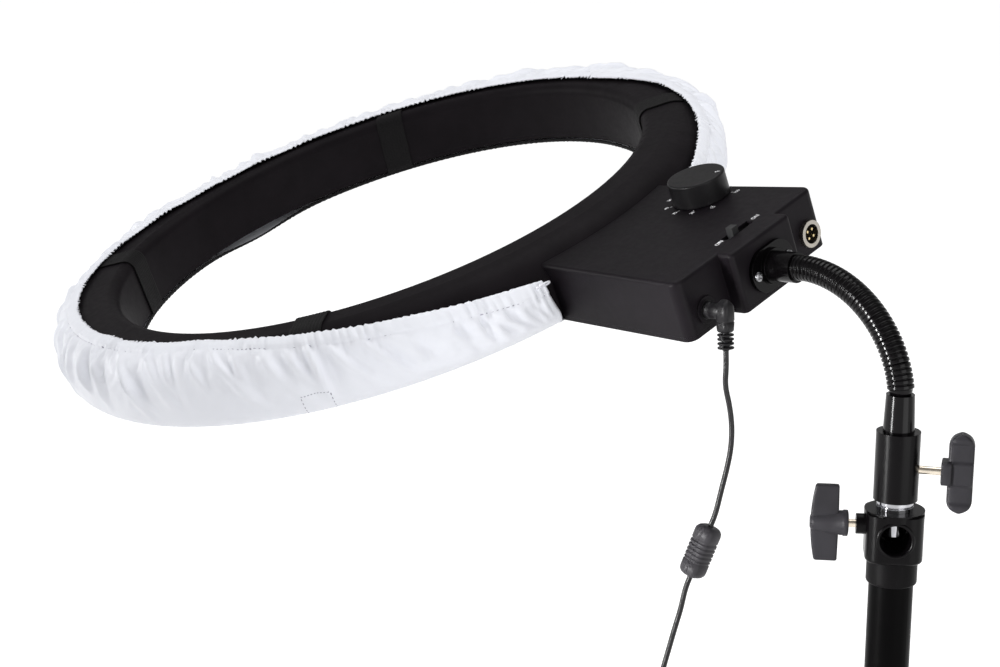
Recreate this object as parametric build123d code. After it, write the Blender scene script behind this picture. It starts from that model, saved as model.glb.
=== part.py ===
from build123d import *
import math
import os

os.makedirs("parts", exist_ok=True)

# A ring light on a gooseneck, with the top of the light stand that holds it.
# World frame: +Z up along the stand tube, origin at the lower end of that tube,
# -X from the stand towards the ring.
# Head frame: origin at the ring's centre on the front of its cover, x from the centre
# to the control box, z from the lit front to the back. All lengths are millimetres.

# Fits and clearances
RUN = 0.05            # radial clearance of a turning or sliding fit
SEAT = 0.3            # space left between soft pieces and what they lie on

# Ring housing, as radii about the ring's centre
RING_OUTER = 240.0
RING_WIDTH = 45.0     # from the hole to the outer wall
RING_INNER = RING_OUTER - RING_WIDTH
RING_WALL = 2.2
RING_BACK = 46.0      # height of the flat back above the front of the cover
HARD_FRONT = 3.2      # height of the bezel's front face
BEZEL_THICK = 3.0
INNER_CORNER = RING_WIDTH * 7 / 45     # rounding between the back and the hole's wall
OUTER_SHOULDER = RING_WIDTH * 24 / 45  # rounding between the back and the outer wall
INNER_LAND = RING_WIDTH * 8.5 / 45     # bezel between the hole and the window
OUTER_LAND = RING_WIDTH * 11 / 45      # bezel between the window and the outer edge
BRIDGE_WIDTH = 5.0    # ribs across the window that join the bezel's two rings
WINDOW_LAP = 2.0      # how far the diffuser laps onto the bezel
DIFFUSER_THICK = 2.0
LIP_THICK = 1.6
LIP_HEIGHT = 5.0

# Light source
BOARD_LEVEL = 15.0
BOARD_THICK = 1.6
LED_ROWS = (3.0, 7.0, 16.5, 20.5)  # rows of chips from the window's edge, on a ring 45 wide
LEDS_PER_ROW = 60
LED_SIZE = 3.0
LED_HEIGHT = 1.2

# Screws of the ring
RING_SCREWS = 8
SCREW_R = 1.5
SCREW_HEAD_R = 2.8
SCREW_HEAD_H = 1.8
BOSS_R = 2.9
BOSS_SINK = 1.0       # how far the bezel's bosses run into the outer wall
BOARD_SCREW_LENGTH = 8.0
BEZEL_SCREW_LENGTH = 9.0

# Cloth cover, its hem and its straps
CLOTH_SLACK = 6.0     # how far the cover stands off the outer wall
CLOTH_LIFT = 2.5      # how far it stands above the back
CLOTH_FRONT_ROUND = 11.0
CLOTH_BACK_ROUND = RING_WIDTH * 28 / 45
CLOTH_INSET = 0.5
HEM_BAND = RING_WIDTH * 17 / 45  # bare band on the back between the hole and the hem
HEM_NEAR_BOX_BAND = RING_WIDTH / 5
HEM_NEAR_BOX_PLACE = RING_WIDTH * 41 / 45  # the hem swings out about this point by the box
HEM_CUT_FROM = 30.0
CLOTH_BOX_GAP = 1.0
BINDING_THICK = 1.2
BINDING_HEIGHT = 5.0
STRAP_WIDTH = 25.0
STRAP_THICK = 1.0
STRAP_LIFT = 0.5
STRAP_ANGLES = (52.0, 137.0, 216.0, 308.0)

# Control box
BOX_LENGTH = 105.0    # from the ring's outer wall to the end wall
BOX_INNER_HALF = 57.0  # half width where it meets the ring
BOX_OUTER_HALF = 63.5
BOX_TOP = 38.0
BOX_BOTTOM = 1.0
BOX_WALL = 2.4
BASE_THICK = 2.5
BOX_CORNER = 6.0
BOX_EDGE = 2.4
BLOCK_OUT = 10.0      # how far the block for the gooseneck stands out of the end wall
BLOCK_LOW = -26.0
BLOCK_HIGH = 28.0
BASE_SCREW_INSET = 9.0
BASE_SCREW_BACK = 24.0  # from the end wall, clear of the sockets
WIRE_HOLE_R = 5.0
CONTROL_LIFT = 3.0
CONTROL_HALF = 40.0

# Dimmer
DIAL_PLACE = 36.0     # from the ring's outer wall
DIAL_Y = 41.0
KNOB_R = 18.0
KNOB_HEIGHT = 14.5
KNOB_GAP = 0.6
POT_SIZE = 16.0
POT_DEPTH = 9.0
BUSH_R = 3.5
BUSH_RISE = 5.0
SHAFT_R = 3.0
SHAFT_RISE = 12.5
NUT_R = 5.5
NUT_THICK = 2.0
POINTER_LENGTH = 4.0
POINTER_WIDTH = 1.6
POINTER_ANGLE = 28.0

# Power switch
SWITCH_INSET = 9.0    # from the end wall
SLOT_Y = 3.2
SLOT_END_ROOM = 3.5   # slot left beyond the lever's foot at each end of its travel
SLOT_WIDTH = 5.5
LEVER_TRAVEL = 8.0
LEVER_LENGTH = 5.0
LEVER_FOOT = 9.0
FOOT_THICK = 3.0
LEVER_RISE = 4.5
SWITCH_DEPTH = 8.0
SWITCH_RIM = 2.0

# Sockets of the end wall
JACK_Y = -46.0
JACK_Z = 13.5
JACK_R = 5.5
JACK_BORE_R = 2.85
JACK_DEPTH = 14.0
JACK_RIM_R = 8.0
JACK_RIM_OUT = 1.2
BATTERY_Y = 49.5
BATTERY_Z = 13.5
BATTERY_R = 8.2
BATTERY_NOSE = 3.0
BATTERY_BARREL_R = 6.8
BATTERY_DEPTH = 12.0
BATTERY_CUP_R = 5.8
PIN_R = 0.8
PIN_CIRCLE = 3.0
PIN_COUNT = 4

# Gooseneck
FLANGE_Y = 2.0
FLANGE_Z = 17.6
FLANGE_WIDTH = 37.0
FLANGE_HEIGHT = 26.0
FLANGE_THICK = 2.5
FLANGE_SCREW_SPAN = 28.0
FLANGE_HUB_R = 10.6
FLANGE_HUB_HEIGHT = 5.0
SLEEVE_FLOOR = 1.5    # wall under the hose's end in the root sleeve
ROOT_SLEEVE_R = 8.8
ROOT_SLEEVE_LENGTH = 20.0
HOSE_CREST_R = 7.35
HOSE_ROOT_R = 6.5
HOSE_BORE_R = 2.2
RIB_PITCH = 2.72
RIB_TOP = 1.3
BALL_R = 5.4
BALL_NECK_R = 4.2
SHOULDER_GAP = 2.8    # room beside each ball for the next link to tip
LINK_RIBS = 4
LINK_PITCHES = 5      # ball to ball, in rib pitches
END_RIBS = 2
HEAD_RISE = 4.2       # slope of the head's x axis, in degrees
HEAD_ROLL = 20.1      # tip of the ring about that axis, in degrees
TURNS = (15.0, 12.6, 11.6, 11.2, 11.2, 11.2, 10.9, 10.5)  # bend at each link at rest
HEAD_END_RUN = 26.9   # from the flange's face to the last ball

# Stand
TUBE_LENGTH = 263.0   # from the origin to the underside of the stand's head
TUBE_R = 12.2
TUBE_WALL = 1.5
COLLAR_R = 13.9
COLLAR_LENGTH = 14.0
COLLAR_SEAT = 0.3     # shoulder on the tube that the collar rests on
HEAD_HEIGHT = 28.0
HEAD_HALF = 15.6
HEAD_CORNER = 9.0
CAP_R = 16.4
CAP_HEIGHT = 4.0
TENON_LENGTH = 20.0
CROSS_BORE_R = 8.1
CROSS_BORE_RISE = 14.5
CROSS_CHAMFER = 1.3
CROSS_BORE_ANGLE = -49.0
SPIGOT_R = 8.0
SPIGOT_TOP = 20.0
STEM_R = 5.0
STEM_LENGTH = 15.0
RIDGE_R = 10.0
RIDGE_GROOVE_R = 8.8
RIDGE_HEIGHT = 2.2
RIDGE_GROOVE = 1.0
SOCKET_R = 12.0
SOCKET_LENGTH = 38.5
SLEEVE_R = 8.5
SLEEVE_TOP_R = 7.7
SLEEVE_SEAT = 15.0    # how deep the hose's lower sleeve sits in the socket
SLEEVE_SHOWS = 20.6

# Clamp screws
CLAMP_SCREW_R = 2.25
PAD_LENGTH = 1.8
SOCKET_KNOB_RISE = 17.5
SOCKET_KNOB_ANGLE = 33.0
SOCKET_SCREW_END = 31.0
HUB_FROM = 23.5
HUB_LENGTH = 5.5
HUB_SIDE = 13.0
BAR_FROM = 27.0
BAR_THICK = 13.6
BAR_LENGTH = 44.0
BAR_DEPTH = 10.0
STAND_KNOB_RISE = 18.5
STAND_KNOB_ANGLE = 221.0
STAND_BOSS_R = 5.7
STAND_BOSS_OUT = 5.0
WING_HUB_FROM = 24.6
WING_HUB_R = 7.3
WING_HUB_LENGTH = 21.0
WING_SPAN = 44.0
WING_THICK = 6.0
WING_WIDTH = 13.5
WING_SWEEP = 3.0

# Power lead
LEAD_R = 1.6
PLUG_REACH = 14.0     # from the end wall to the middle of the plug's body
PLUG_BARREL_R = 4.4
PLUG_BODY_R = 4.3
PLUG_ABOVE = 4.6
PLUG_BELOW = 11.5
TIP_R = 2.75
TIP_LENGTH = 9.5
RELIEF_LENGTH = 10.5
RELIEF_CORE_R = 2.6
RELIEF_RIB_R = 4.8
RELIEF_RIBS = 4
RELIEF_RIB_THICK = 1.1
BEAD_R = 7.6
BEAD_LENGTH = 31.0
BEAD_TOP = (-91.4, -47.8, 267.6)
BEAD_BOTTOM = (-98.2, -55.8, 238.4)
STRAIGHT_OUT = 9.0    # straight length of the lead at each piece it enters
UPPER_ROUTE = (
    (-87.6, -43.2, 351.0),
    (-85.8, -40.7, 339.0),
    (-84.6, -39.5, 327.0),
    (-84.5, -39.8, 314.5),
    (-85.8, -41.4, 302.0),
    (-87.6, -43.6, 289.5),
)
LOWER_ROUTE = (
    (-101.5, -59.8, 218.0),
    (-103.9, -62.4, 205.0),
    (-105.9, -64.7, 192.5),
    (-108.0, -67.1, 180.0),
    (-109.7, -68.9, 167.0),
)

# Put-away coil of the lead, hanging on edge under it, and its power adapter
COIL_START = (-110.6, -69.7, 142.0)
COIL_INNER_R = 12.5
COIL_PITCH = 4.1      # from turn to turn and from layer to layer
COIL_QUARTERS = (10, 10, 10, 8)  # quarter turns in each layer
TIE_WIDTH = 6.0
TIE_THICK = 1.0
TAIL_ROUTE = (
    (-114.6, -60.6, 114.5),
    (-118.2, -64.8, 103.5),
    (-120.2, -66.8, 92.5),
)
TAIL_END = (-120.2, -66.8, 82.5)
ADAPTER_WIDTH = 44.0
ADAPTER_DEPTH = 28.0
ADAPTER_HEIGHT = 70.0
ADAPTER_EDGE = 4.0
NOSE_LENGTH = 8.0
INLET_WIDTH = 18.0
INLET_DEPTH = 9.0
INLET_SINK = 10.0
MAINS_PIN_R = 1.2

# Sizes that follow from the ones above
BOX_END = RING_OUTER + BOX_LENGTH
DIAL_X = RING_OUTER + DIAL_PLACE
SWITCH_X = BOX_END - SWITCH_INSET
SLOT_LENGTH = LEVER_TRAVEL + LEVER_FOOT + 2 * SLOT_END_ROOM
LEVER_OFF_Y = SLOT_Y - LEVER_TRAVEL / 2
CLOTH_OUTER = RING_OUTER + CLOTH_SLACK
CLOTH_BACK = RING_BACK + CLOTH_LIFT
HEM_R = RING_INNER + HEM_BAND
HEM_NEAR_BOX_R = RING_INNER + HEM_NEAR_BOX_BAND
SHOULDER = RING_OUTER - OUTER_SHOULDER
WINDOW_INNER = RING_INNER + INNER_LAND
WINDOW_OUTER = RING_OUTER - OUTER_LAND
BOARD_POST_PLACE = (WINDOW_INNER + WINDOW_OUTER) / 2 - 1
COLLAR_LOW = TUBE_LENGTH - COLLAR_LENGTH
HEAD_LOW = TUBE_LENGTH
HEAD_TOP = HEAD_LOW + HEAD_HEIGHT
RIDGE_TOTAL = 2 * RIDGE_HEIGHT + RIDGE_GROOVE
SOCKET_LOW = HEAD_TOP + RIDGE_TOTAL + SEAT
SOCKET_TOP = SOCKET_LOW + SOCKET_LENGTH
BALL_ONE_Z = SOCKET_TOP + SLEEVE_SHOWS + SHOULDER_GAP
LINK_LENGTH = LINK_PITCHES * RIB_PITCH


def write(name, shape):
    """Write one named sub-part as a STEP file."""
    export_step(shape, f"parts/{name}.step")


def polar(radius, angle):
    """X and Y of a point at an angle in degrees."""
    return radius * math.cos(math.radians(angle)), radius * math.sin(math.radians(angle))


def rod(radius, start, end):
    """A round bar from one point to another."""
    start, end = Vector(start), Vector(end)
    way = end - start
    plane = Plane(origin=start, z_dir=way)
    return plane.location * Cylinder(radius, way.length, align=(Align.CENTER, Align.CENTER, Align.MIN))


def disc(radius, low, high, x=0.0, y=0.0):
    """An upright round bar between two heights."""
    return Pos(x, y, low) * Cylinder(radius, high - low, align=(Align.CENTER, Align.CENTER, Align.MIN))


def annulus(inner, outer, low, high):
    """A flat ring about Z between two heights."""
    return disc(outer, low, high) - disc(inner, low - 1, high + 1)


def block(x0, x1, y0, y1, z0, z1):
    """A box between two corners."""
    size = (x1 - x0, y1 - y0, z1 - z0)
    return Pos(x0, y0, z0) * Box(*size, align=(Align.MIN, Align.MIN, Align.MIN))


def spin(edges):
    """A solid turned about Z from a closed outline drawn in the XZ plane."""
    return revolve(make_face(edges), axis=Axis.Z)


# Head frame and the gooseneck's chain of balls
def head_axes():
    """Directions of the head frame in the world frame."""
    rise, roll = math.radians(HEAD_RISE), math.radians(HEAD_ROLL)
    along = Vector(math.cos(rise), 0, math.sin(rise))
    level = Vector(0, 1, 0)
    upright = along.cross(level)
    across = level * math.cos(roll) + upright * math.sin(roll)
    return along, across, along.cross(across)


def neck_balls():
    """Centres of the gooseneck's balls from the stand up to the head."""
    centres = [Vector(0, 0, BALL_ONE_Z)]
    heading = 90.0
    for turn in TURNS[:-1]:
        heading += turn
        way = Vector(math.cos(math.radians(heading)), 0, math.sin(math.radians(heading)))
        centres.append(centres[-1] + way * LINK_LENGTH)
    return centres


ALONG, ACROSS, UPRIGHT = head_axes()
BALLS = neck_balls()
FLANGE_POINT = BALLS[-1] - ALONG * HEAD_END_RUN
HEAD_ORIGIN = (
    FLANGE_POINT - ALONG * (BOX_END + BLOCK_OUT) - ACROSS * FLANGE_Y - UPRIGHT * FLANGE_Z
)
HEAD = Plane(origin=HEAD_ORIGIN, x_dir=ALONG, z_dir=UPRIGHT).location


def write_head(name, shape):
    """Write a sub-part that is drawn in the head frame."""
    write(name, HEAD * shape)


def head_point(x, y, z):
    """World place of a point of the head frame."""
    return HEAD_ORIGIN + ALONG * x + ACROSS * y + UPRIGHT * z


# Ring housing
def ring_body(inset, low):
    """The ring's outer shape, moved inwards by a wall thickness, down to a height."""
    inner, outer, top = RING_INNER + inset, RING_OUTER - inset, RING_BACK - inset
    r_in, r_out = INNER_CORNER - inset, OUTER_SHOULDER - inset
    c_in, c_out = inner + r_in, outer - r_out
    slant_in, slant_out = r_in * math.sqrt(0.5), r_out * math.sqrt(0.5)
    edges = [
        Line((inner, 0, low), (inner, 0, top - r_in)),
        ThreePointArc(
            (inner, 0, top - r_in),
            (c_in - slant_in, 0, top - r_in + slant_in),
            (c_in, 0, top),
        ),
        Line((c_in, 0, top), (c_out, 0, top)),
        ThreePointArc(
            (c_out, 0, top),
            (c_out + slant_out, 0, top - r_out + slant_out),
            (outer, 0, top - r_out),
        ),
        Line((outer, 0, top - r_out), (outer, 0, low)),
        Line((outer, 0, low), (inner, 0, low)),
    ]
    return spin(edges)


BEZEL_BACK = HARD_FRONT + BEZEL_THICK
BOARD_BACK = BOARD_LEVEL + BOARD_THICK
BOARD_INNER = WINDOW_INNER - WINDOW_LAP
BOARD_OUTER = WINDOW_OUTER + WINDOW_LAP
BEZEL_BOSS_PLACE = RING_OUTER - RING_WALL - BOSS_R + BOSS_SINK
SCREW_STEP = 360.0 / RING_SCREWS


def around(place, count, first=0.0):
    """Centres of an even pattern about the ring's centre."""
    return [polar(place, first + 360.0 / count * i) for i in range(count)]


BEZEL_SCREW_PLACES = around(BEZEL_BOSS_PLACE, RING_SCREWS, SCREW_STEP / 2)
BOARD_SCREW_PLACES = around(BOARD_POST_PLACE, RING_SCREWS, SCREW_STEP / 2)

ring_outside = ring_body(0, BEZEL_BACK)
housing = ring_outside - ring_body(RING_WALL, BEZEL_BACK - 1)
bosses = [disc(BOSS_R, BEZEL_BACK, RING_BACK, x, y) for x, y in BEZEL_SCREW_PLACES]
posts = [disc(BOSS_R, BOARD_BACK, RING_BACK, x, y) for x, y in BOARD_SCREW_PLACES]
for stud in bosses + posts:
    housing += stud & ring_outside
for x, y in BEZEL_SCREW_PLACES:
    housing -= disc(SCREW_R + RUN, BEZEL_BACK - 1, BEZEL_BACK + BEZEL_SCREW_LENGTH, x, y)
for x, y in BOARD_SCREW_PLACES:
    housing -= disc(SCREW_R + RUN, BOARD_BACK - 1, BOARD_BACK + BOARD_SCREW_LENGTH, x, y)
wire_level = BOARD_BACK + WIRE_HOLE_R
housing -= rod(WIRE_HOLE_R, (RING_INNER + RING_WIDTH / 3, 0, wire_level), (RING_OUTER + 5, 0, wire_level))
write_head("rear_housing", housing)

# Bezel, diffuser and light source
bezel = annulus(RING_INNER, RING_OUTER, HARD_FRONT, BEZEL_BACK)
bezel -= annulus(WINDOW_INNER, WINDOW_OUTER, HARD_FRONT - 1, BEZEL_BACK + 1)
LIP_INNER = RING_INNER + RING_WALL + RUN
bezel += annulus(LIP_INNER, LIP_INNER + LIP_THICK, BEZEL_BACK, BEZEL_BACK + LIP_HEIGHT)
for i in range(RING_SCREWS):
    rib = block(
        WINDOW_INNER - 1, WINDOW_OUTER + 1, -BRIDGE_WIDTH / 2, BRIDGE_WIDTH / 2, HARD_FRONT, BEZEL_BACK
    )
    bezel += Rot(0, 0, SCREW_STEP * (i + 0.5)) * rib
for x, y in BEZEL_SCREW_PLACES:
    bezel -= disc(SCREW_R + RUN, HARD_FRONT - 1, BEZEL_BACK + 1, x, y)
    bezel -= disc(SCREW_HEAD_R + RUN, HARD_FRONT - 1, HARD_FRONT + SCREW_HEAD_H, x, y)
write_head("front_bezel", bezel)

DIFFUSER_BACK = BEZEL_BACK + DIFFUSER_THICK
write_head("diffuser_plate", annulus(BOARD_INNER, BOARD_OUTER, BEZEL_BACK, DIFFUSER_BACK))

board = annulus(BOARD_INNER, BOARD_OUTER, BOARD_LEVEL, BOARD_BACK)
for x, y in BOARD_SCREW_PLACES:
    board -= disc(SCREW_R + RUN, BOARD_LEVEL - 1, BOARD_BACK + 1, x, y)
write_head("led_board", board)

chips = []
for row, place in enumerate(LED_ROWS):
    for i in range(LEDS_PER_ROW):
        angle = 360.0 / LEDS_PER_ROW * (i + 0.5 * (row % 2))
        x, y = polar(WINDOW_INNER + RING_WIDTH * place / 45, angle)
        chip = Box(LED_SIZE, LED_SIZE, LED_HEIGHT)
        chips.append(Pos(x, y, BOARD_LEVEL - LED_HEIGHT / 2) * Rot(0, 0, angle) * chip)
write_head("led_chips", Compound(children=chips))


def ring_screw(x, y, head_low, length):
    """A pan-headed screw that points to the back."""
    head = disc(SCREW_HEAD_R, head_low, head_low + SCREW_HEAD_H, x, y)
    shank = disc(SCREW_R, head_low + SCREW_HEAD_H, head_low + SCREW_HEAD_H + length, x, y)
    recess = disc(SCREW_R, head_low - 1, head_low + SCREW_HEAD_H / 2, x, y)
    return head + shank - recess


board_head_low = BOARD_LEVEL - SCREW_HEAD_H
board_screw = [ring_screw(x, y, board_head_low, BOARD_SCREW_LENGTH) for x, y in BOARD_SCREW_PLACES]
write_head("board_screws", Compound(children=board_screw))
bezel_screw = [ring_screw(x, y, HARD_FRONT, BEZEL_SCREW_LENGTH) for x, y in BEZEL_SCREW_PLACES]
write_head("bezel_screws", Compound(children=bezel_screw))


# Cloth cover: a loose sleeve over the front, the outer side and the rim of the back
def half_width(x):
    """Half the box's width at a distance from the ring's centre."""
    share = (x - RING_OUTER) / (BOX_END - RING_OUTER)
    return BOX_INNER_HALF + share * (BOX_OUTER_HALF - BOX_INNER_HALF)


def cloth_outline():
    """Closed outline of the cover's section."""
    front_in = RING_INNER + CLOTH_INSET
    out, top = CLOTH_OUTER, CLOTH_BACK
    rf, rb, ri = CLOTH_FRONT_ROUND, CLOTH_BACK_ROUND, OUTER_SHOULDER + SEAT
    half = math.sqrt(0.5)
    wall = RING_OUTER + SEAT
    shoulder = RING_OUTER - OUTER_SHOULDER
    under = RING_BACK + SEAT
    low = HARD_FRONT - SEAT
    hem = HEM_NEAR_BOX_R - HEM_NEAR_BOX_BAND / 2
    return [
        Line((front_in, 0, low), (front_in, 0, 0)),
        Line((front_in, 0, 0), (out - rf, 0, 0)),
        ThreePointArc(
            (out - rf, 0, 0), (out - rf + rf * half, 0, rf - rf * half), (out, 0, rf)
        ),
        Line((out, 0, rf), (out, 0, top - rb)),
        ThreePointArc(
            (out, 0, top - rb), (out - rb + rb * half, 0, top - rb + rb * half), (out - rb, 0, top)
        ),
        Line((out - rb, 0, top), (hem, 0, top)),
        Line((hem, 0, top), (hem, 0, under)),
        Line((hem, 0, under), (shoulder, 0, under)),
        ThreePointArc(
            (shoulder, 0, under),
            (shoulder + ri * half, 0, under - ri + ri * half),
            (wall, 0, under - ri),
        ),
        Line((wall, 0, under - ri), (wall, 0, low)),
        Line((wall, 0, low), (front_in, 0, low)),
    ]


GAP_INNER = RING_INNER + HEM_NEAR_BOX_BAND
cover = spin(cloth_outline())
cover -= disc(HEM_R, HEM_CUT_FROM, CLOTH_BACK + 1)
cover -= disc(HEM_NEAR_BOX_R, HEM_CUT_FROM, CLOTH_BACK + 1, HEM_NEAR_BOX_PLACE)
box_gap_half = half_width(CLOTH_OUTER) + CLOTH_BOX_GAP
gap_from = math.sqrt(RING_OUTER ** 2 - box_gap_half ** 2) - CLOTH_BOX_GAP
cover -= block(
    GAP_INNER, CLOTH_OUTER + 1, -box_gap_half, box_gap_half, HARD_FRONT - SEAT, CLOTH_BACK + 1
)
cover -= block(gap_from, CLOTH_OUTER + 1, -box_gap_half, box_gap_half, -1, HARD_FRONT)
write_head("fabric_cover", cover)
binding_outer = RING_INNER - SEAT
binding = annulus(binding_outer - BINDING_THICK, binding_outer, 0, BINDING_HEIGHT)
binding += annulus(binding_outer, RING_INNER + CLOTH_INSET, 0, HARD_FRONT - SEAT)
write_head("inner_hem", binding)


def hem_radius(angle):
    """How far the hem on the back is from the ring's centre."""
    x, y = polar(HEM_NEAR_BOX_PLACE, angle)
    return max(HEM_R, x + math.sqrt(HEM_NEAR_BOX_R ** 2 - y ** 2))


def strap(angle):
    """A flat strap from the hem over the inner corner and down the hole's wall."""
    half = STRAP_WIDTH / 2
    wall = math.sqrt(RING_INNER ** 2 - half ** 2) - SEAT
    back = RING_BACK + SEAT
    corner = RING_INNER + INNER_CORNER
    bevel = (INNER_CORNER + SEAT) * math.tan(math.radians(22.5))
    drop = back - INNER_CORNER - SEAT + bevel
    lift = STRAP_THICK * math.tan(math.radians(22.5))
    lower = [(wall, 0, BINDING_HEIGHT), (wall, 0, drop), (corner - bevel, 0, back)]
    upper = [
        (wall - STRAP_THICK, 0, BINDING_HEIGHT),
        (wall - STRAP_THICK, 0, drop + lift),
        (corner - bevel - lift, 0, back + STRAP_THICK),
    ]
    swing = math.degrees(math.asin(half / HEM_R))
    hem = min(hem_radius(angle - swing), hem_radius(angle + swing))
    outer = math.sqrt(hem ** 2 - half ** 2) - SEAT
    over = outer - SHOULDER
    if over > 0:
        fall = OUTER_SHOULDER - math.sqrt(OUTER_SHOULDER ** 2 - over ** 2)
        for line, rise in ((lower, 0), (upper, STRAP_THICK)):
            line.append((SHOULDER, 0, back + STRAP_LIFT + rise))
            line.append((outer, 0, back + STRAP_LIFT + rise - fall))
    else:
        lower.append((outer, 0, back))
        upper.append((outer, 0, back + STRAP_THICK))
    outline = Polyline(*lower, *reversed(upper), close=True)
    return Rot(0, 0, angle) * extrude(make_face(outline), half, both=True)


write_head("hold_straps", Compound(children=[strap(angle) for angle in STRAP_ANGLES]))


# Control box
def box_outline(inset, low, high):
    """The box's footprint moved inwards, as a solid between two heights."""
    end = BOX_END - inset
    near, far = half_width(SHOULDER) - inset, half_width(BOX_END) - inset
    corner = max(BOX_CORNER - inset, 0.5)
    foot = Polyline((SHOULDER, -near), (end, -far), (end, far), (SHOULDER, near), close=True)
    main = Pos(0, 0, low) * extrude(make_face(foot), high - low)
    main = fillet(main.edges().filter_by(Axis.Z).group_by(Axis.X)[-1], corner)
    stub = block(end - 20, end + BLOCK_OUT, BLOCK_LOW + inset, BLOCK_HIGH - inset, low, high)
    stub = fillet(stub.edges().filter_by(Axis.Z).group_by(Axis.X)[-1], corner / 2)
    return main + stub


SHELL_LOW = BOX_BOTTOM + BASE_THICK
PANEL_UNDER = BOX_TOP - BOX_WALL
solid_ring = ring_body(0, BOX_BOTTOM - 5)
shell = box_outline(0, SHELL_LOW, BOX_TOP)
shell = fillet(shell.faces().sort_by(Axis.Z)[-1].edges().filter_by_position(
    Axis.X, RING_OUTER, BOX_END + BLOCK_OUT + 1), BOX_EDGE)
shell -= box_outline(BOX_WALL, SHELL_LOW - 1, PANEL_UNDER)
base_bosses = []
for side in (-1, 1):
    for x in (RING_OUTER + BASE_SCREW_INSET, BOX_END - BASE_SCREW_BACK):
        base_bosses.append((x, side * (half_width(x) - BASE_SCREW_INSET)))
for x, y in base_bosses:
    shell += disc(BOSS_R, SHELL_LOW, PANEL_UNDER + 1, x, y)
    shell -= disc(SCREW_R + RUN, SHELL_LOW - 1, SHELL_LOW + BEZEL_SCREW_LENGTH, x, y)
shell += rod(
    JACK_RIM_R, (BOX_END - BOX_WALL, JACK_Y, JACK_Z), (BOX_END + JACK_RIM_OUT, JACK_Y, JACK_Z)
)
shell -= rod(JACK_R + RUN, (BOX_END - 20, JACK_Y, JACK_Z), (BOX_END + 5, JACK_Y, JACK_Z))
shell -= rod(
    BATTERY_BARREL_R + RUN, (BOX_END - 20, BATTERY_Y, BATTERY_Z), (BOX_END + 5, BATTERY_Y, BATTERY_Z)
)
shell -= disc(BUSH_R + RUN, PANEL_UNDER - 1, BOX_TOP + 1, DIAL_X, DIAL_Y)
slot_low, slot_high = SLOT_Y - SLOT_LENGTH / 2, SLOT_Y + SLOT_LENGTH / 2
shell -= block(
    SWITCH_X - SLOT_WIDTH / 2, SWITCH_X + SLOT_WIDTH / 2, slot_low, slot_high,
    PANEL_UNDER - 1, BOX_TOP + 1,
)
BLOCK_FACE = BOX_END + BLOCK_OUT
FLANGE_SCREWS = [
    (FLANGE_Y - FLANGE_SCREW_SPAN / 2, FLANGE_Z), (FLANGE_Y + FLANGE_SCREW_SPAN / 2, FLANGE_Z)
]
for y, z in FLANGE_SCREWS:
    shell -= rod(SCREW_R + RUN, (BLOCK_FACE - BOX_WALL - 1, y, z), (BLOCK_FACE + 1, y, z))
shell -= solid_ring
write_head("box_shell", shell)

base = box_outline(0, BOX_BOTTOM, SHELL_LOW) - solid_ring
tray = box_outline(BOX_WALL + RUN, SHELL_LOW, SHELL_LOW + 2)
tray -= box_outline(BOX_WALL + 1.5, SHELL_LOW - 1, SHELL_LOW + 3)
tray -= ring_body(-BOX_WALL, BOX_BOTTOM - 5)
for x, y in base_bosses:
    base -= disc(SCREW_R + RUN, BOX_BOTTOM - 1, SHELL_LOW + 1, x, y)
    base -= disc(SCREW_HEAD_R + RUN, BOX_BOTTOM - 1, BOX_BOTTOM + SCREW_HEAD_H, x, y)
write_head("box_base", base + tray)
base_screw = [ring_screw(x, y, BOX_BOTTOM, BEZEL_SCREW_LENGTH) for x, y in base_bosses]
write_head("base_screws", Compound(children=base_screw))

# Dimmer, from the potentiometer under the panel to the knob over it
POT_HALF = POT_SIZE / 2
pot = block(
    DIAL_X - POT_HALF, DIAL_X + POT_HALF, DIAL_Y - POT_HALF, DIAL_Y + POT_HALF,
    PANEL_UNDER - POT_DEPTH, PANEL_UNDER,
)
pot = fillet(pot.edges().filter_by(Axis.Z), 2.0)
pot += disc(BUSH_R, PANEL_UNDER, BOX_TOP + BUSH_RISE, DIAL_X, DIAL_Y)
pot -= disc(SHAFT_R + RUN, PANEL_UNDER - POT_DEPTH / 2, BOX_TOP + BUSH_RISE + 1, DIAL_X, DIAL_Y)
write_head("dimmer_pot", pot)
hexagon = Pos(DIAL_X, DIAL_Y, BOX_TOP) * extrude(RegularPolygon(NUT_R, 6), NUT_THICK)
nut = hexagon - disc(BUSH_R + RUN, BOX_TOP - 1, BOX_TOP + NUT_THICK + 1, DIAL_X, DIAL_Y)
write_head("pot_nut", nut)
shaft_foot = PANEL_UNDER - POT_DEPTH / 2 + SEAT
write_head("pot_shaft", disc(SHAFT_R, shaft_foot, BOX_TOP + SHAFT_RISE, DIAL_X, DIAL_Y))
knob_low = BOX_TOP + KNOB_GAP
knob = disc(KNOB_R, knob_low, knob_low + KNOB_HEIGHT, DIAL_X, DIAL_Y)
knob = fillet(knob.edges().group_by(Axis.Z)[-1], 1.2)
knob -= disc(NUT_R + 1.5, knob_low - 1, BOX_TOP + BUSH_RISE + 1, DIAL_X, DIAL_Y)
knob -= disc(SHAFT_R, knob_low - 1, BOX_TOP + SHAFT_RISE, DIAL_X, DIAL_Y)
pointer_place = KNOB_R - 2.0 - POINTER_LENGTH / 2
px, py = polar(pointer_place, POINTER_ANGLE)
groove = Pos(DIAL_X + px, DIAL_Y + py, knob_low + KNOB_HEIGHT) * Rot(0, 0, POINTER_ANGLE)
knob -= groove * Box(POINTER_LENGTH, POINTER_WIDTH, 0.8)
write_head("dimmer_knob", knob)

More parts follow.
